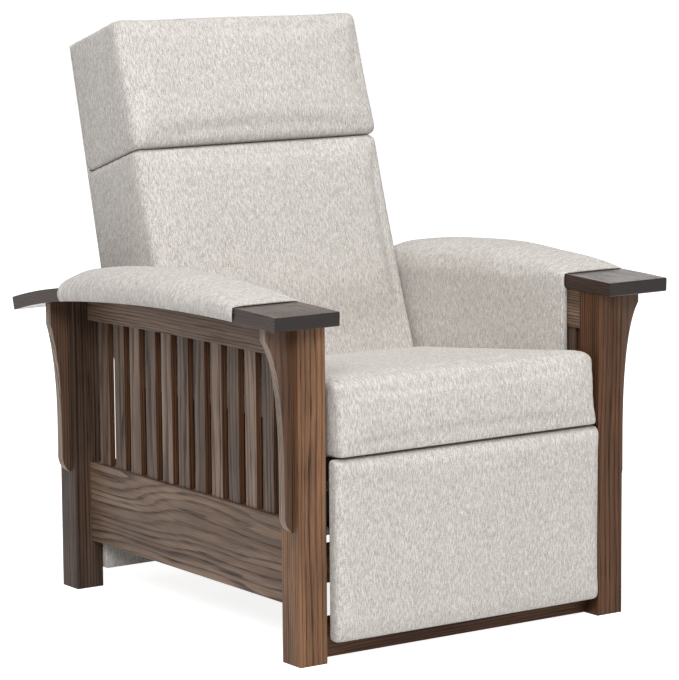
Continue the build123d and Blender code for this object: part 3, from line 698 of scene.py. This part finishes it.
@dataclass
class Unroll:
    """Lays flat cloth coordinates, in metres, round a side outline and on the two flat ends."""

    outline: Sequence[tuple[float, float]]
    axis: int = 0
    end_facing: float = 0.72

    def lay(self, piece: Piece) -> None:
        """Writes the UV map named cloth of a finished piece: U across it, V round its outline."""
        mesh = piece.data
        others = [i for i in range(3) if i != self.axis]
        places = points_of(mesh)
        flat = places[:, others]
        line = np.array(self.outline, float)
        steps = np.diff(line, axis=0)
        lengths = np.linalg.norm(steps, axis=1)
        starts = np.concatenate([[0.0], np.cumsum(lengths)])[:-1]
        best = np.full(len(flat), 1e9)
        along = np.zeros(len(flat))
        for begin, step, length, start in zip(line[:-1], steps, lengths, starts):
            share = np.clip(((flat - begin) @ step) / length**2, 0, 1)
            gap = np.linalg.norm(flat - (begin + share[:, None] * step), axis=1)
            nearer = gap < best
            best[nearer] = gap[nearer]
            along[nearer] = (start + share * length)[nearer]
        loops = read(mesh.loops, "vertex_index")
        facing = np.abs(read(mesh.polygons, "normal", 3)[:, self.axis])
        on_end = np.repeat(facing > self.end_facing, read(mesh.polygons, "loop_total"))
        round_it = np.stack([places[loops, self.axis], along[loops]], 1)
        write_cloth(mesh, np.where(on_end[:, None], flat[loops] + END_SHIFT, round_it))


def write_cloth(mesh: bpy.types.Mesh, places: Array) -> None:
    """Writes the UV map named cloth, a row for each face corner."""
    layer = mesh.uv_layers.get("cloth") or mesh.uv_layers.new(name="cloth")
    layer.data.foreach_set("uv", places.astype(np.float32).ravel())


def dress(piece: Piece, material: Material) -> None:
    """Gives a piece one material."""
    piece.data.materials.clear()
    piece.data.materials.append(material)


@dataclass
class Workshop:
    """What every sub-assembly needs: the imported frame, the shared groups and the finished cloths."""

    frame: dict
    effects: Effects = field(default_factory=Effects)

    def __post_init__(self) -> None:
        """Makes the materials that several sub-assemblies use."""
        self.cloth = CLOTH.make(self.effects)
        self.strap = STRAP.make(self.effects)
        self.painted = PAINTED.make(self.effects)
        self.plated = PLATED.make(self.effects)
        self.nylon = NYLON.make(self.effects)
        self.plain_up = PLAIN.make(self.effects, Way.UPRIGHT, (0.31, 0.12, 0.0))
        self.plain_across = PLAIN.make(self.effects, Way.CROSSWISE, (0.05, 0.33, 0.0))
        self.plain_long = PLAIN.make(self.effects, Way.LENGTHWISE, (0.21, 0.42, 0.0))

    def coat(self, nodes: Iterable[str], material: Material) -> None:
        """Gives CAD nodes one material in every slot."""
        for name in nodes:
            node = self.frame["nodes"][name]
            if not node.material_slots:
                node.data.materials.append(material)
            for place in node.material_slots:
                place.material = material
            LOG.info("dressed %s with %s", name, material.name)

    def seat_piece(self, piece: Piece, body: Body, nodes: Sequence[str], slot: str) -> None:
        """Puts a finished piece on its body in place of its CAD nodes."""
        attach(piece, body.value)
        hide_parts(*nodes)
        LOG.info("made %s on %s for %s", piece.name, body.value, ", ".join(nodes))

    def upholster(self, piece: Piece, body: Body, nodes: Sequence[str], fill: float) -> None:
        """Dresses a padded piece in the cloth and puts it on its body."""
        dress(piece, self.cloth)
        self.seat_piece(piece, body, nodes, "upholstery")

    def strap_up(self, node: str, name: str, body: Body, across: int, along: int, count: int) -> None:
        """Makes webbing straps from their CAD node and puts them on their body."""
        straps = copy_of(self, node, name)
        lay_straps(straps, across, along, count)
        dress(straps, self.strap)
        self.seat_piece(straps, body, [node], "webbing")


def both(*names: str) -> list[str]:
    """Left and right node names of each piece."""
    return [f"{name}_{side}" for name in names for side in ("left", "right")]


# Sub-assemblies


@dataclass
class WoodFrame:
    """Posts, corbels, rails, slats, arm boards and stretchers."""

    shop: Workshop
    slat_pitch: float = 0.056087

    def build(self) -> None:
        """Dresses the wooden pieces, each kind with its own grain; the darker stains of the right front
        post, rear posts, front stretcher and side liners are painted shade, the greyer stains of corbels,
        slats and side rails a painted sheen.
        """
        upright, long = Way.UPRIGHT, Way.LENGTHWISE
        # Copies with other grain: the lower rails keep the painted sheen, the right front post the painted
        # shade.
        bold = replace(SIDE_SHEEN, pitch=0.0075, wander=0.013)
        right_post_shade = replace(SHADE_STAIN, wander=0.003)
        for nodes, finish, way, heart in (
            (["front_post_left"], STAIN, upright, (0.02, 0.24, 0.0)),
            (["front_post_right"], right_post_shade, upright, (-0.08, 0.31, 0.0)),
            # Painted shade: the rear posts take a darker stain.
            (both("rear_post"), REAR_SHADE, upright, (0.18, -0.11, 0.0)),
            # Painted sheen: corbels, slats and side rails take greyer stains; corbels and slats also get
            # painted shade on faces along Y.
            (both("front_corbel", "rear_corbel"), CORBEL_SHEEN_AND_SHADE, upright, (0.11, 0.62, 0.0)),
            (both("side_slats"), SLAT_SHEEN, upright, (0.9, 0.35, 0.0)),
            (both("lower_side_rail"), bold, long, (0.29, 0.21, 0.12)),
            (both("upper_side_rail"), SIDE_SHEEN, long, (0.6, 0.7, 0.0)),
            # Painted shade on the arm boards' ends.
            (both("arm_board"), ARM, long, (0.35, 0.5, 0.0)),
            # Painted shade: the front stretcher and side liners take the darker copy of the stain.
            (["front_stretcher"], replace(SHADE_STAIN, wander=0.004), Way.CROSSWISE, (-0.1, -0.35, 0.0)),
            (["side_liners"], SHADE_STAIN, long, (0.1, 0.75, 0.0)),
        ):
            pitch = self.slat_pitch if finish is SLAT_SHEEN else 0.0
            self.shop.coat(nodes, finish.make(self.shop.effects, way, heart, pitch))
        self.shop.coat(["front_cross_rail", "rear_cross_rail"], self.shop.plain_across)


@dataclass
class ArmUpholstery:
    """One padded cover on each arm: over the bowed board and down the inside of the arm."""

    shop: Workshop
    board_inner: float = 0.29555
    board_outer: float = 0.4282
    board_thick: float = 0.025
    cover_inner: float = 0.2888
    cover_outer: float = 0.4344
    panel_back: float = 0.3024
    panel_bottom: float = 0.405
    crest: tuple[float, float] = (-0.261257, 0.5995)
    bow: float = 4.6
    droop_start: float = 0.208743
    droop: float = 1.415
    front: float = -0.339257
    rear: float = 0.254743
    panel_rear: float = 0.268743
    crown: float = 0.0345
    thin: float = 0.0042
    rise: float = 0.3
    rise_power: float = 0.92
    fall: float = 0.17
    rear_drop: float = 0.26
    nose: float = 0.045
    swell: float = 0.003
    stations: int = 96
    across: int = 84
    gap: float = 0.0004
    hang: float = 0.0022
    over_share: float = 0.62
    edge_share: float = 0.12
    top_share: float = 0.38
    gather: float = 0.35
    square: float = 8.0
    rounding: float = 5.3
    full_crown: float = 0.025

    def build(self) -> None:
        """Builds the covers of both arms."""
        for side, sign in (("left", -1.0), ("right", 1.0)):
            cover = self.shell(f"arm_cover_{side}", sign)
            Padding(pressure=1.2, stiffness=30.0).swell(cover, self.reach)
            Padding.finish(cover)
            self.unroll(sign).lay(cover)
            self.shop.upholster(cover, Body.FRAME, [f"arm_pad_{side}", f"arm_inner_panel_{side}"], 0.8)

    def underside(self, y: Array) -> Array:
        """Height of the board's underside at each depth."""
        centre = np.array([self.crest[0], self.crest[1] - self.bow])
        bowed = centre[1] + np.sqrt(self.bow**2 - (y - centre[0]) ** 2)
        height = math.sqrt(self.bow**2 - (self.droop_start - centre[0]) ** 2)
        corner = np.array([self.droop_start, centre[1] + height])
        turn = corner + (centre - corner) * (self.droop / self.bow)
        drooped = turn[1] + np.sqrt(self.droop**2 - (y - turn[0]) ** 2)
        return np.where(y <= self.droop_start, bowed, drooped)

    def crown_at(self, y: Array) -> Array:
        """Height of the padding above the board: a long rise from the front and a round rear end."""
        rise = np.sin(np.clip((y - self.front) / self.rise, 0, 1) * math.pi / 2) ** self.rise_power
        fall = 1.0 - self.rear_drop * np.clip((y - self.rear + self.fall) / self.fall, 0, None) ** 2
        nose = np.sqrt(np.clip(1.0 - np.clip((y - self.rear + self.nose) / self.nose, 0, 1) ** 2, 0, 1))
        return self.thin + (self.crown - self.thin) * rise * fall * nose

    def outer(self, y: Array) -> tuple[Array, Array]:
        """Outer contour at each station, from the outer lower edge over the crown to the panel's foot.

        Args:
            y: depth of each station.

        Returns:
            Arrays of X and Z, one row a station.
        """
        base = self.underside(y)[:, None]
        crown = self.crown_at(y)[:, None]
        over = int(self.across * self.over_share)
        down = self.across - over
        angle = (np.linspace(0.02, 1, over) * math.pi)[None, :]
        power = self.square - self.rounding * np.clip(crown / self.full_crown, 0, 1)
        half = (self.cover_outer - self.cover_inner) / 2
        x = half * np.sign(np.cos(angle)) * np.abs(np.cos(angle)) ** (2 / power)
        x = (self.cover_outer + self.cover_inner) / 2 + x
        z = base + (self.board_thick + crown) * np.abs(np.sin(angle)) ** (2 / power)
        z = z - self.hang * np.clip(np.cos(angle), 0, 1) ** 6
        share = np.linspace(0, 1, down + 1)[None, 1:]
        fall = base + (self.panel_bottom - base) * share
        return np.hstack([x, np.full_like(fall, self.cover_inner)]), np.hstack([z, fall])

    def inner(self, y: Array) -> tuple[Array, Array]:
        """Inner contour at each station, along the board's edges and top and the panel's back."""
        base = self.underside(y)[:, None]
        rows = len(y)
        up = last = int(self.across * self.edge_share)
        over = int(self.across * self.top_share)
        down = self.across - up - over - last
        top = base + self.board_thick + self.gap
        near, far = self.board_outer + self.gap, self.board_inner - self.gap
        pieces_x = [
            np.full((rows, up), near),
            np.linspace(near, far, over)[None, :].repeat(rows, 0),
            np.full((rows, last), far),
            np.full((rows, down), self.panel_back),
        ]
        edge = np.linspace(0, 1, up + 1)[None, :-1]
        fall = np.linspace(0, 1, last + 1)[None, 1:]
        foot = np.linspace(0, 1, down)[None, :]
        bottom = base + self.gap - self.hang
        under = base - 2 * self.gap
        pieces_z = [
            bottom + (top - bottom) * edge,
            top.repeat(over, 1),
            top + (under - top) * fall,
            under + (self.panel_bottom - under) * foot,
        ]
        return np.hstack(pieces_x), np.hstack(pieces_z)

    def sheet(self, name: str, sign: float, contour: Callable) -> Piece:
        """Lays a grid along one contour.

        Args:
            name: name of the object.
            sign: side of the chair.
            contour: gives X and Z of each station.

        Returns:
            The open grid.
        """
        deselect()
        cells = {"x_subdivisions": self.across - 1, "y_subdivisions": self.stations - 1}
        bpy.ops.mesh.primitive_grid_add(**cells, size=1.0)
        piece = bpy.context.object
        piece.name = name
        share = np.linspace(0, 1, self.stations)
        share = share + self.gather * np.sin(2 * math.pi * share) / (-2 * math.pi)
        y = self.front + (self.rear - self.front) * share
        x, z = contour(y)
        lowered = ramp(self.underside(y)[:, None] - z, 0.0, 0.12)
        lowered = np.where(np.abs(x) < self.panel_back + 0.001, lowered, 0.0)
        depth = y[:, None] + lowered * share[:, None] * (self.panel_rear - self.rear)
        set_points(piece.data, np.stack([sign * x, depth, z], -1).reshape(-1, 3))
        return piece

    def shell(self, name: str, sign: float) -> Piece:
        """Joins the outer and the inner sheet along their rims into one closed cover."""
        outer = self.sheet(name, sign, self.outer)
        inner = self.sheet(name + "_lining", sign, self.inner)
        activate(outer)
        inner.select_set(True)
        bpy.ops.object.join()
        steps = [
            (bpy.ops.mesh.select_all, {"action": "DESELECT"}),
            (bpy.ops.mesh.select_non_manifold, {"extend": False}),
            (bpy.ops.mesh.bridge_edge_loops, {}),
            (bpy.ops.mesh.select_all, {"action": "SELECT"}),
            OUTWARD,
        ]
        edit(outer, *steps, mode="EDGE")
        return outer

    def reach(self, places: Array, _normals: Array) -> Array:
        """Only the crown and the outer face swell; what lies on the board and the panel's foot stays."""
        out, y, z = np.abs(places[:, 0]), places[:, 1], places[:, 2]
        base = self.underside(y)
        lined = out < self.board_outer + 0.001
        on_board = lined & (z < base + self.board_thick + 0.001) & (out > self.board_inner - 0.001)
        on_panel = lined & (z < base) & (out > self.panel_back - 0.001)
        ends = ramp(y, self.front, self.front + 0.05) * ramp(-y, -self.rear, -self.rear + 0.03)
        return np.where(on_board | on_panel, 0.0, self.swell) * ends

    def unroll(self, sign: float) -> Unroll:
        """Cloth coordinates round the cover's middle section."""
        x, z = self.outer(np.array([0.0]))
        return Unroll([(sign * a, b) for a, b in zip(x[0][::3], z[0][::3])], axis=1)


def copy_of(shop: Workshop, node: str, name: str) -> Piece:
    """A merged copy of a CAD node's mesh as a new object."""
    piece = put(name, shop.frame["nodes"][node].data.copy())
    edit(piece, (bpy.ops.mesh.remove_doubles, {"threshold": MERGED}))
    return piece


def wrap(piece: Piece, ease: float = 0.003) -> None:
    """Eases the edges of a flat block that is covered in cloth."""
    apply_modifier(piece, "BEVEL", width=ease, segments=3, limit_method="ANGLE")
    edit(piece, OUTWARD)
    shade(piece)


def shade(piece: Piece, angle: float = 50.0) -> None:
    """Shades a piece smooth, with sharp edges past an angle in degrees."""
    activate(piece)
    bpy.ops.object.shade_smooth_by_angle(angle=math.radians(angle))


@dataclass
class Slope:
    """A plane that leans back by an angle from a base place in world Y and Z."""

    angle: float
    base: tuple[float, float]

    def __post_init__(self) -> None:
        """Keeps the angle's cosine and sine."""
        self.cosine, self.sine = math.cos(self.angle), math.sin(self.angle)

    def local(self, places: Array) -> tuple[Array, Array]:
        """Distance behind the base and height above it of each place, along the slope's own axes."""
        back, rise = places[:, 1] - self.base[0], places[:, 2] - self.base[1]
        return back * self.cosine - rise * self.sine, back * self.sine + rise * self.cosine

    def outline(self, places: Sequence[tuple[float, float]]) -> list[tuple[float, float]]:
        """World Y and Z of places behind and above the base."""
        (y, z), cosine, sine = self.base, self.cosine, self.sine
        return [(y + back * cosine + up * sine, z - back * sine + up * cosine) for back, up in places]


@dataclass
class Seat:
    """Seat cushion, webbing and the wooden seat frame."""

    shop: Workshop
    slope: Slope = field(default_factory=lambda: Slope(math.radians(6.0), (-0.431257, 0.358)))
    front_proud: float = 0.020
    thick: float = 0.1334
    depth: float = 0.527
    top_swell: float = 0.0035
    front_swell: float = 0.003
    side_swell: float = 0.0016

    def reach(self, places: Array, normals: Array) -> Array:
        """The top swells most, the front a little, the sides and the base hardly."""
        back, rise = self.slope.local(places)
        up = np.clip(normals[:, 2], 0, 1)
        face = np.clip(-normals[:, 1], 0, 1)
        inside = ramp(self.depth - self.front_proud - back, 0.004, 0.05)
        free = self.top_swell * up**2 * inside + self.front_swell * face + self.side_swell
        return free * ramp(rise, 0.002, 0.02) + LEAST

    def build(self) -> None:
        """Builds the cushion and the straps and dresses the frame."""
        cushion = copy_of(self.shop, "seat_cushion", "seat_cover")
        Padding().fill(cushion, self.reach)
        low, high, top = -self.front_proud, self.depth - self.front_proud, self.thick
        outline = [(high, 0.0), (high, top), (low + 0.02, top + 0.004), (low + 0.006, top - 0.008)]
        outline += [(low, top - 0.026), (low, 0.0), (high, 0.0)]
        Unroll(self.slope.outline(outline)).lay(cushion)
        self.shop.upholster(cushion, Body.SEAT, ["seat_cushion"], 0.8)
        self.shop.strap_up("seat_webbing", "seat_straps", Body.SEAT, 0, 1, 5)
        self.shop.coat(both("seat_side_rail"), self.shop.plain_long)
        self.shop.coat(["seat_front_rail", "seat_rear_rail"], self.shop.plain_across)


def lay_straps(piece: Piece, across: int, along: int, count: int) -> None:
    """Eases webbing straps and gives each flat coordinates from its own middle.

    Args:
        piece: the straps as one mesh.
        across: axis across a strap.
        along: axis along a strap.
        count: number of straps.
    """
    apply_modifier(piece, "BEVEL", width=0.0007, segments=2, limit_method="ANGLE")
    places = points_of(piece.data)
    middles = np.unique(np.round(places[:, across], 3))
    groups = np.array_split(middles, count)
    centres = np.array([group.mean() for group in groups])
    nearest = np.abs(places[:, across][:, None] - centres[None, :]).argmin(1)
    middle = places[:, across] - centres[nearest] + STRAP_MIDDLE
    flat = np.stack([middle, places[:, along] + nearest * STRAP_SHIFT], 1)
    write_cloth(piece.data, flat[read(piece.data.loops, "vertex_index")])
    shade(piece)


@dataclass
class Back:
    """Lumbar cushion, head pillow, rear cloth and the wooden back frame."""

    shop: Workshop
    slope: Slope = field(default_factory=lambda: Slope(math.radians(18.25), (0.101743, 0.438)))
    seam: float = 0.428
    height: float = 0.675
    depths: tuple[float, float] = (0.215, 0.164)
    frame_face: float = 0.096
    frame_taper: float = 0.038
    frame_half: float = 0.2605
    rim: float = 0.008
    proud: float = 0.009
    side: float = 0.2
    full: float = 0.09
    forward: float = 0.0075
    narrow: float = 0.017
    sag: float = 0.0035
    lumbar_swell: float = 0.0085
    lumbar_side: float = 0.0024
    pillow_swell: float = 0.007
    pillow_side: float = 0.0022
    top_swell: float = 0.003
    full_span: tuple[float, float] = (0.05, 0.16)
    sag_span: tuple[float, float] = (-0.1, 0.28)
    foot_span: tuple[float, float] = (0.03, 0.15)
    side_span: tuple[float, float] = (0.01, 0.08)

    def rear(self, up: Array) -> Array:
        """Distance from the face plane to the rear of the cushions."""
        return self.depths[0] - (self.depths[0] - self.depths[1]) * up / self.height - self.rim

    def held(self, places: Array) -> tuple[Array, Array]:
        """Freedom and height of each place: it is held in the pocket of the frame and at the rear rim."""
        behind, up = self.slope.local(places)
        face = self.frame_face - self.frame_taper * up - self.rim
        pocket = (behind > face) & (np.abs(places[:, 0]) < self.frame_half)
        free = ramp(self.rear(up) - behind, 0.006, 0.05)
        return np.where(pocket, 0.0, free), up

    def lumbar_reach(self, places: Array, normals: Array) -> Array:
        """The face swells between the seat and the seam, the sides a little."""
        free, up = self.held(places)
        face = np.clip(-normals[:, 1], 0, 1) ** 2
        puff = self.lumbar_swell * face * ramp(up, *self.foot_span) * ramp(self.seam - up, 0.0, 0.05)
        return free * (puff + self.lumbar_side * ramp(up, *self.side_span))

    def pillow_reach(self, places: Array, normals: Array) -> Array:
        """The pillow's face and top swell, and its lower edge stays in at the seam."""
        free, up = self.held(places)
        face = np.clip(-normals[:, 1], 0, 1) ** 2
        crown = self.top_swell * np.clip(normals[:, 2], 0, 1) ** 2
        puff = self.pillow_swell * face * ramp(up, self.seam + 0.004, self.seam + 0.05)
        return free * (puff + crown + self.pillow_side * ramp(up, self.seam, self.seam + 0.03))

    def plump(self, piece: Piece) -> None:
        """Brings the face of a cushion forward, narrows it there and lets its right end sag."""
        places = points_of(piece.data)
        behind, up = self.slope.local(places)
        share = ramp(self.full - behind, 0.0, self.full) * ramp(up, *self.full_span)
        sag = self.sag * ramp(places[:, 0], *self.sag_span) * ramp(up, self.seam + 0.06, self.height)
        places[:, 0] *= 1.0 - self.narrow * share
        places[:, 1] -= self.slope.cosine * self.forward * share
        places[:, 2] += self.slope.sine * self.forward * share - sag
        set_points(piece.data, places)

    def build(self) -> None:
        """Builds the cushions, the rear cloth and the straps and dresses the frame."""
        self.cushion("lumbar_cushion", "lumbar_cover", self.lumbar_reach, (-0.06, self.seam), 0.0)
        self.cushion("head_pillow", "pillow_cover", self.pillow_reach, (self.seam, self.height), -self.proud)
        rear = copy_of(self.shop, "back_rear_cover", "back_cloth")
        wrap(rear)
        Unroll(self.slope.outline([(0.3, -0.1), (0.3, 0.8)])).lay(rear)
        self.shop.upholster(rear, Body.BACK, ["back_rear_cover"], 1.0)
        self.shop.strap_up("back_webbing", "back_straps", Body.BACK, 2, 0, 6)
        self.shop.coat(both("back_side_board"), self.shop.plain_up)
        self.shop.coat(["back_top_rail", "back_bottom_rail"], self.shop.plain_across)

    def cushion(self, node: str, name: str, reach: Reach, span: tuple[float, float], face: float) -> None:
        """Builds one cushion of the back.

        Args:
            node: the CAD node that it replaces.
            name: name of the piece.
            reach: how far each vertex may move.
            span: lower and upper end along the back.
            face: place of its face behind the face plane.
        """
        piece = copy_of(self.shop, node, name)
        Padding().fill(piece, reach)
        self.plump(piece)
        low, high = span
        outline = [(self.side, low), (face, low), (face, high), (self.side, high)]
        Unroll(self.slope.outline(outline)).lay(piece)
        self.shop.upholster(piece, Body.BACK, [node], 0.8)


@dataclass
class Footrest:
    """Padded footrest panel with its board."""

    shop: Workshop
    front: float = -0.451257
    top: float = 0.3565
    bottom: float = 0.036
    depth: float = 0.031
    pocket: float = 0.0145
    swell: float = 0.005
    side_swell: float = 0.0026

    def reach(self, places: Array, normals: Array) -> Array:
        """The face and the top edge swell; the rear stays flat."""
        pocket = places[:, 1] > self.front + self.depth - self.pocket
        face = np.clip(-normals[:, 1], 0, 1) ** 2
        rim = ramp(places[:, 2], self.bottom, self.bottom + 0.03) * ramp(self.top - places[:, 2], 0.0, 0.02)
        free = (self.swell * face + self.side_swell * np.abs(normals[:, 0])) * rim
        return np.where(pocket, 0.0, free + LEAST)

    def build(self) -> None:
        """Builds the pad and dresses the board."""
        pad = copy_of(self.shop, "footrest_pad", "footrest_cover")
        Padding(voxel=0.0045, smooth=2).fill(pad, self.reach)
        rear = self.front + self.depth
        outline = [(rear, self.bottom), (self.front, self.bottom), (self.front, self.top), (rear, self.top)]
        Unroll(outline).lay(pad)
        self.shop.upholster(pad, Body.FOOTREST, ["footrest_pad"], 0.9)
        self.shop.coat(["footrest_board"], self.shop.plain_across)


@dataclass
class LowerRear:
    """Cloth-covered panel and stretcher between the rear posts."""

    shop: Workshop

    def build(self) -> None:
        """Builds the covered panel and the covered stretcher."""
        names = {"rear_cover_panel": "rear_panel_cloth", "rear_stretcher": "rear_stretcher_cloth"}
        for node, name in names.items():
            piece = copy_of(self.shop, node, name)
            wrap(piece, 0.002)
            Unroll([(0.3, 0.0), (0.3, 0.5)]).lay(piece)
            dress(piece, self.shop.cloth)
            self.shop.seat_piece(piece, Body.FRAME, [node], "upholstery")


@dataclass
class Mechanism:
    """Steel plates, links, tracks and their small parts."""

    shop: Workshop

    def build(self) -> None:
        """Dresses the metal and nylon pieces."""
        self.shop.coat(both("seat_side_plate", "back_bracket", "glide_track"), self.shop.painted)
        links = ["lift_links", "reach_links", "tilt_links", "control_links"]
        self.shop.coat([*links, "cross_tube", "footrest_brackets"], self.shop.painted)
        pins = ["seat_pivot_pins", "lift_link_pins", "reach_link_pins", "footrest_bracket_pins"]
        self.shop.coat([*pins, "track_screws"], self.shop.plated)
        self.shop.coat(["glide_shoes"], self.shop.nylon)


@dataclass
class Studio:
    """Camera, lamps, white world and floor."""

    camera_place: Point = (-3.4434, -5.030157, 1.4028)
    yaw: float = math.radians(34.6)
    pitch: float = math.radians(8.53)
    roll: float = math.radians(-0.46)
    lens: float = 174.557
    floor_glow: float = 0.86
    world_light: float = 0.2

    def build(self) -> None:
        """Sets up the whole studio."""
        self.camera()
        self.world()
        self.floor()
        self.lamp("key", (-4.4, -5.2, 4.1), 2.2, 314.0, WARM)
        self.lamp("fill", (2.2, -4.2, 1.2), 2.0, 26.0, WARM)
        self.lamp("top", (-0.7, -1.6, 6.8), 3.2, 310.0, WHITE)

    def camera(self) -> None:
        """Places the camera at the photograph's view."""
        cos_yaw, sin_yaw, cos_pitch = math.cos(self.yaw), math.sin(self.yaw), math.cos(self.pitch)
        ahead = Vector((sin_yaw * cos_pitch, cos_yaw * cos_pitch, -math.sin(self.pitch)))
        level = Vector((cos_yaw, -sin_yaw, 0.0))
        above = level.cross(ahead)
        right = level * math.cos(self.roll) + above * math.sin(self.roll)
        upward = above * math.cos(self.roll) - level * math.sin(self.roll)
        data = bpy.data.cameras.new("view")
        data.lens, data.sensor_width, data.clip_end = self.lens, 36.0, 60.0
        camera = put("view", data)
        turn = Matrix((right, upward, -ahead)).transposed().to_4x4()
        camera.matrix_world = Matrix.Translation(self.camera_place) @ turn
        bpy.context.scene.camera = camera

    def world(self) -> None:
        """White where it is seen or mirrored, dimmer as a light."""
        world = bpy.data.worlds.new("studio")
        world.use_nodes = True
        bpy.context.scene.world = world
        graph = Graph(world.node_tree)
        shade = world.node_tree.nodes["Background"]
        strength = graph.range(graph.seen(), 0.0, 1.0, self.world_light, 1.0)
        graph.give(shade, {"Strength": strength, "Color": WHITE})

    def floor(self) -> None:
        """White floor that keeps a soft shadow."""
        deselect()
        bpy.ops.mesh.primitive_plane_add(size=300.0)
        floor = bpy.context.object
        floor.name = "floor"
        material, graph, shader = blank("studio_floor")
        graph.give(shader, {"Base Color": (0.8, 0.8, 0.8), "Roughness": 0.9, "Specular IOR Level": 0.0})
        lit = graph.times(graph.seen(), self.floor_glow)
        graph.give(shader, {"Emission Strength": lit, "Emission Color": WHITE})
        dress(floor, material)

    @staticmethod
    def lamp(name: str, place: Point, size: float, watts: float, colour: Colour) -> None:
        """Adds a square soft lamp aimed at the chair."""
        data = bpy.data.lights.new(name, "AREA")
        data.shape, data.size, data.size_y = "RECTANGLE", size, size
        data.energy, data.color = watts, colour
        lamp = put(name, data)
        aim = Vector((0.0, 0.0, 0.5)) - Vector(place)
        lamp.matrix_world = Matrix.Translation(place) @ aim.to_track_quat("-Z", "Y").to_matrix().to_4x4()


def main() -> None:
    """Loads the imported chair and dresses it."""
    logging.basicConfig(level=logging.INFO, format="%(message)s")
    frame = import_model()
    bpy.context.scene.view_settings.view_transform = "Standard"
    shop = Workshop(frame)
    for part in (WoodFrame, ArmUpholstery, Seat, Back, Footrest, LowerRear, Mechanism):
        part(shop).build()
        LOG.info("finished %s", part.__name__)
    Studio().build()


if __name__ == "__main__":
    main()
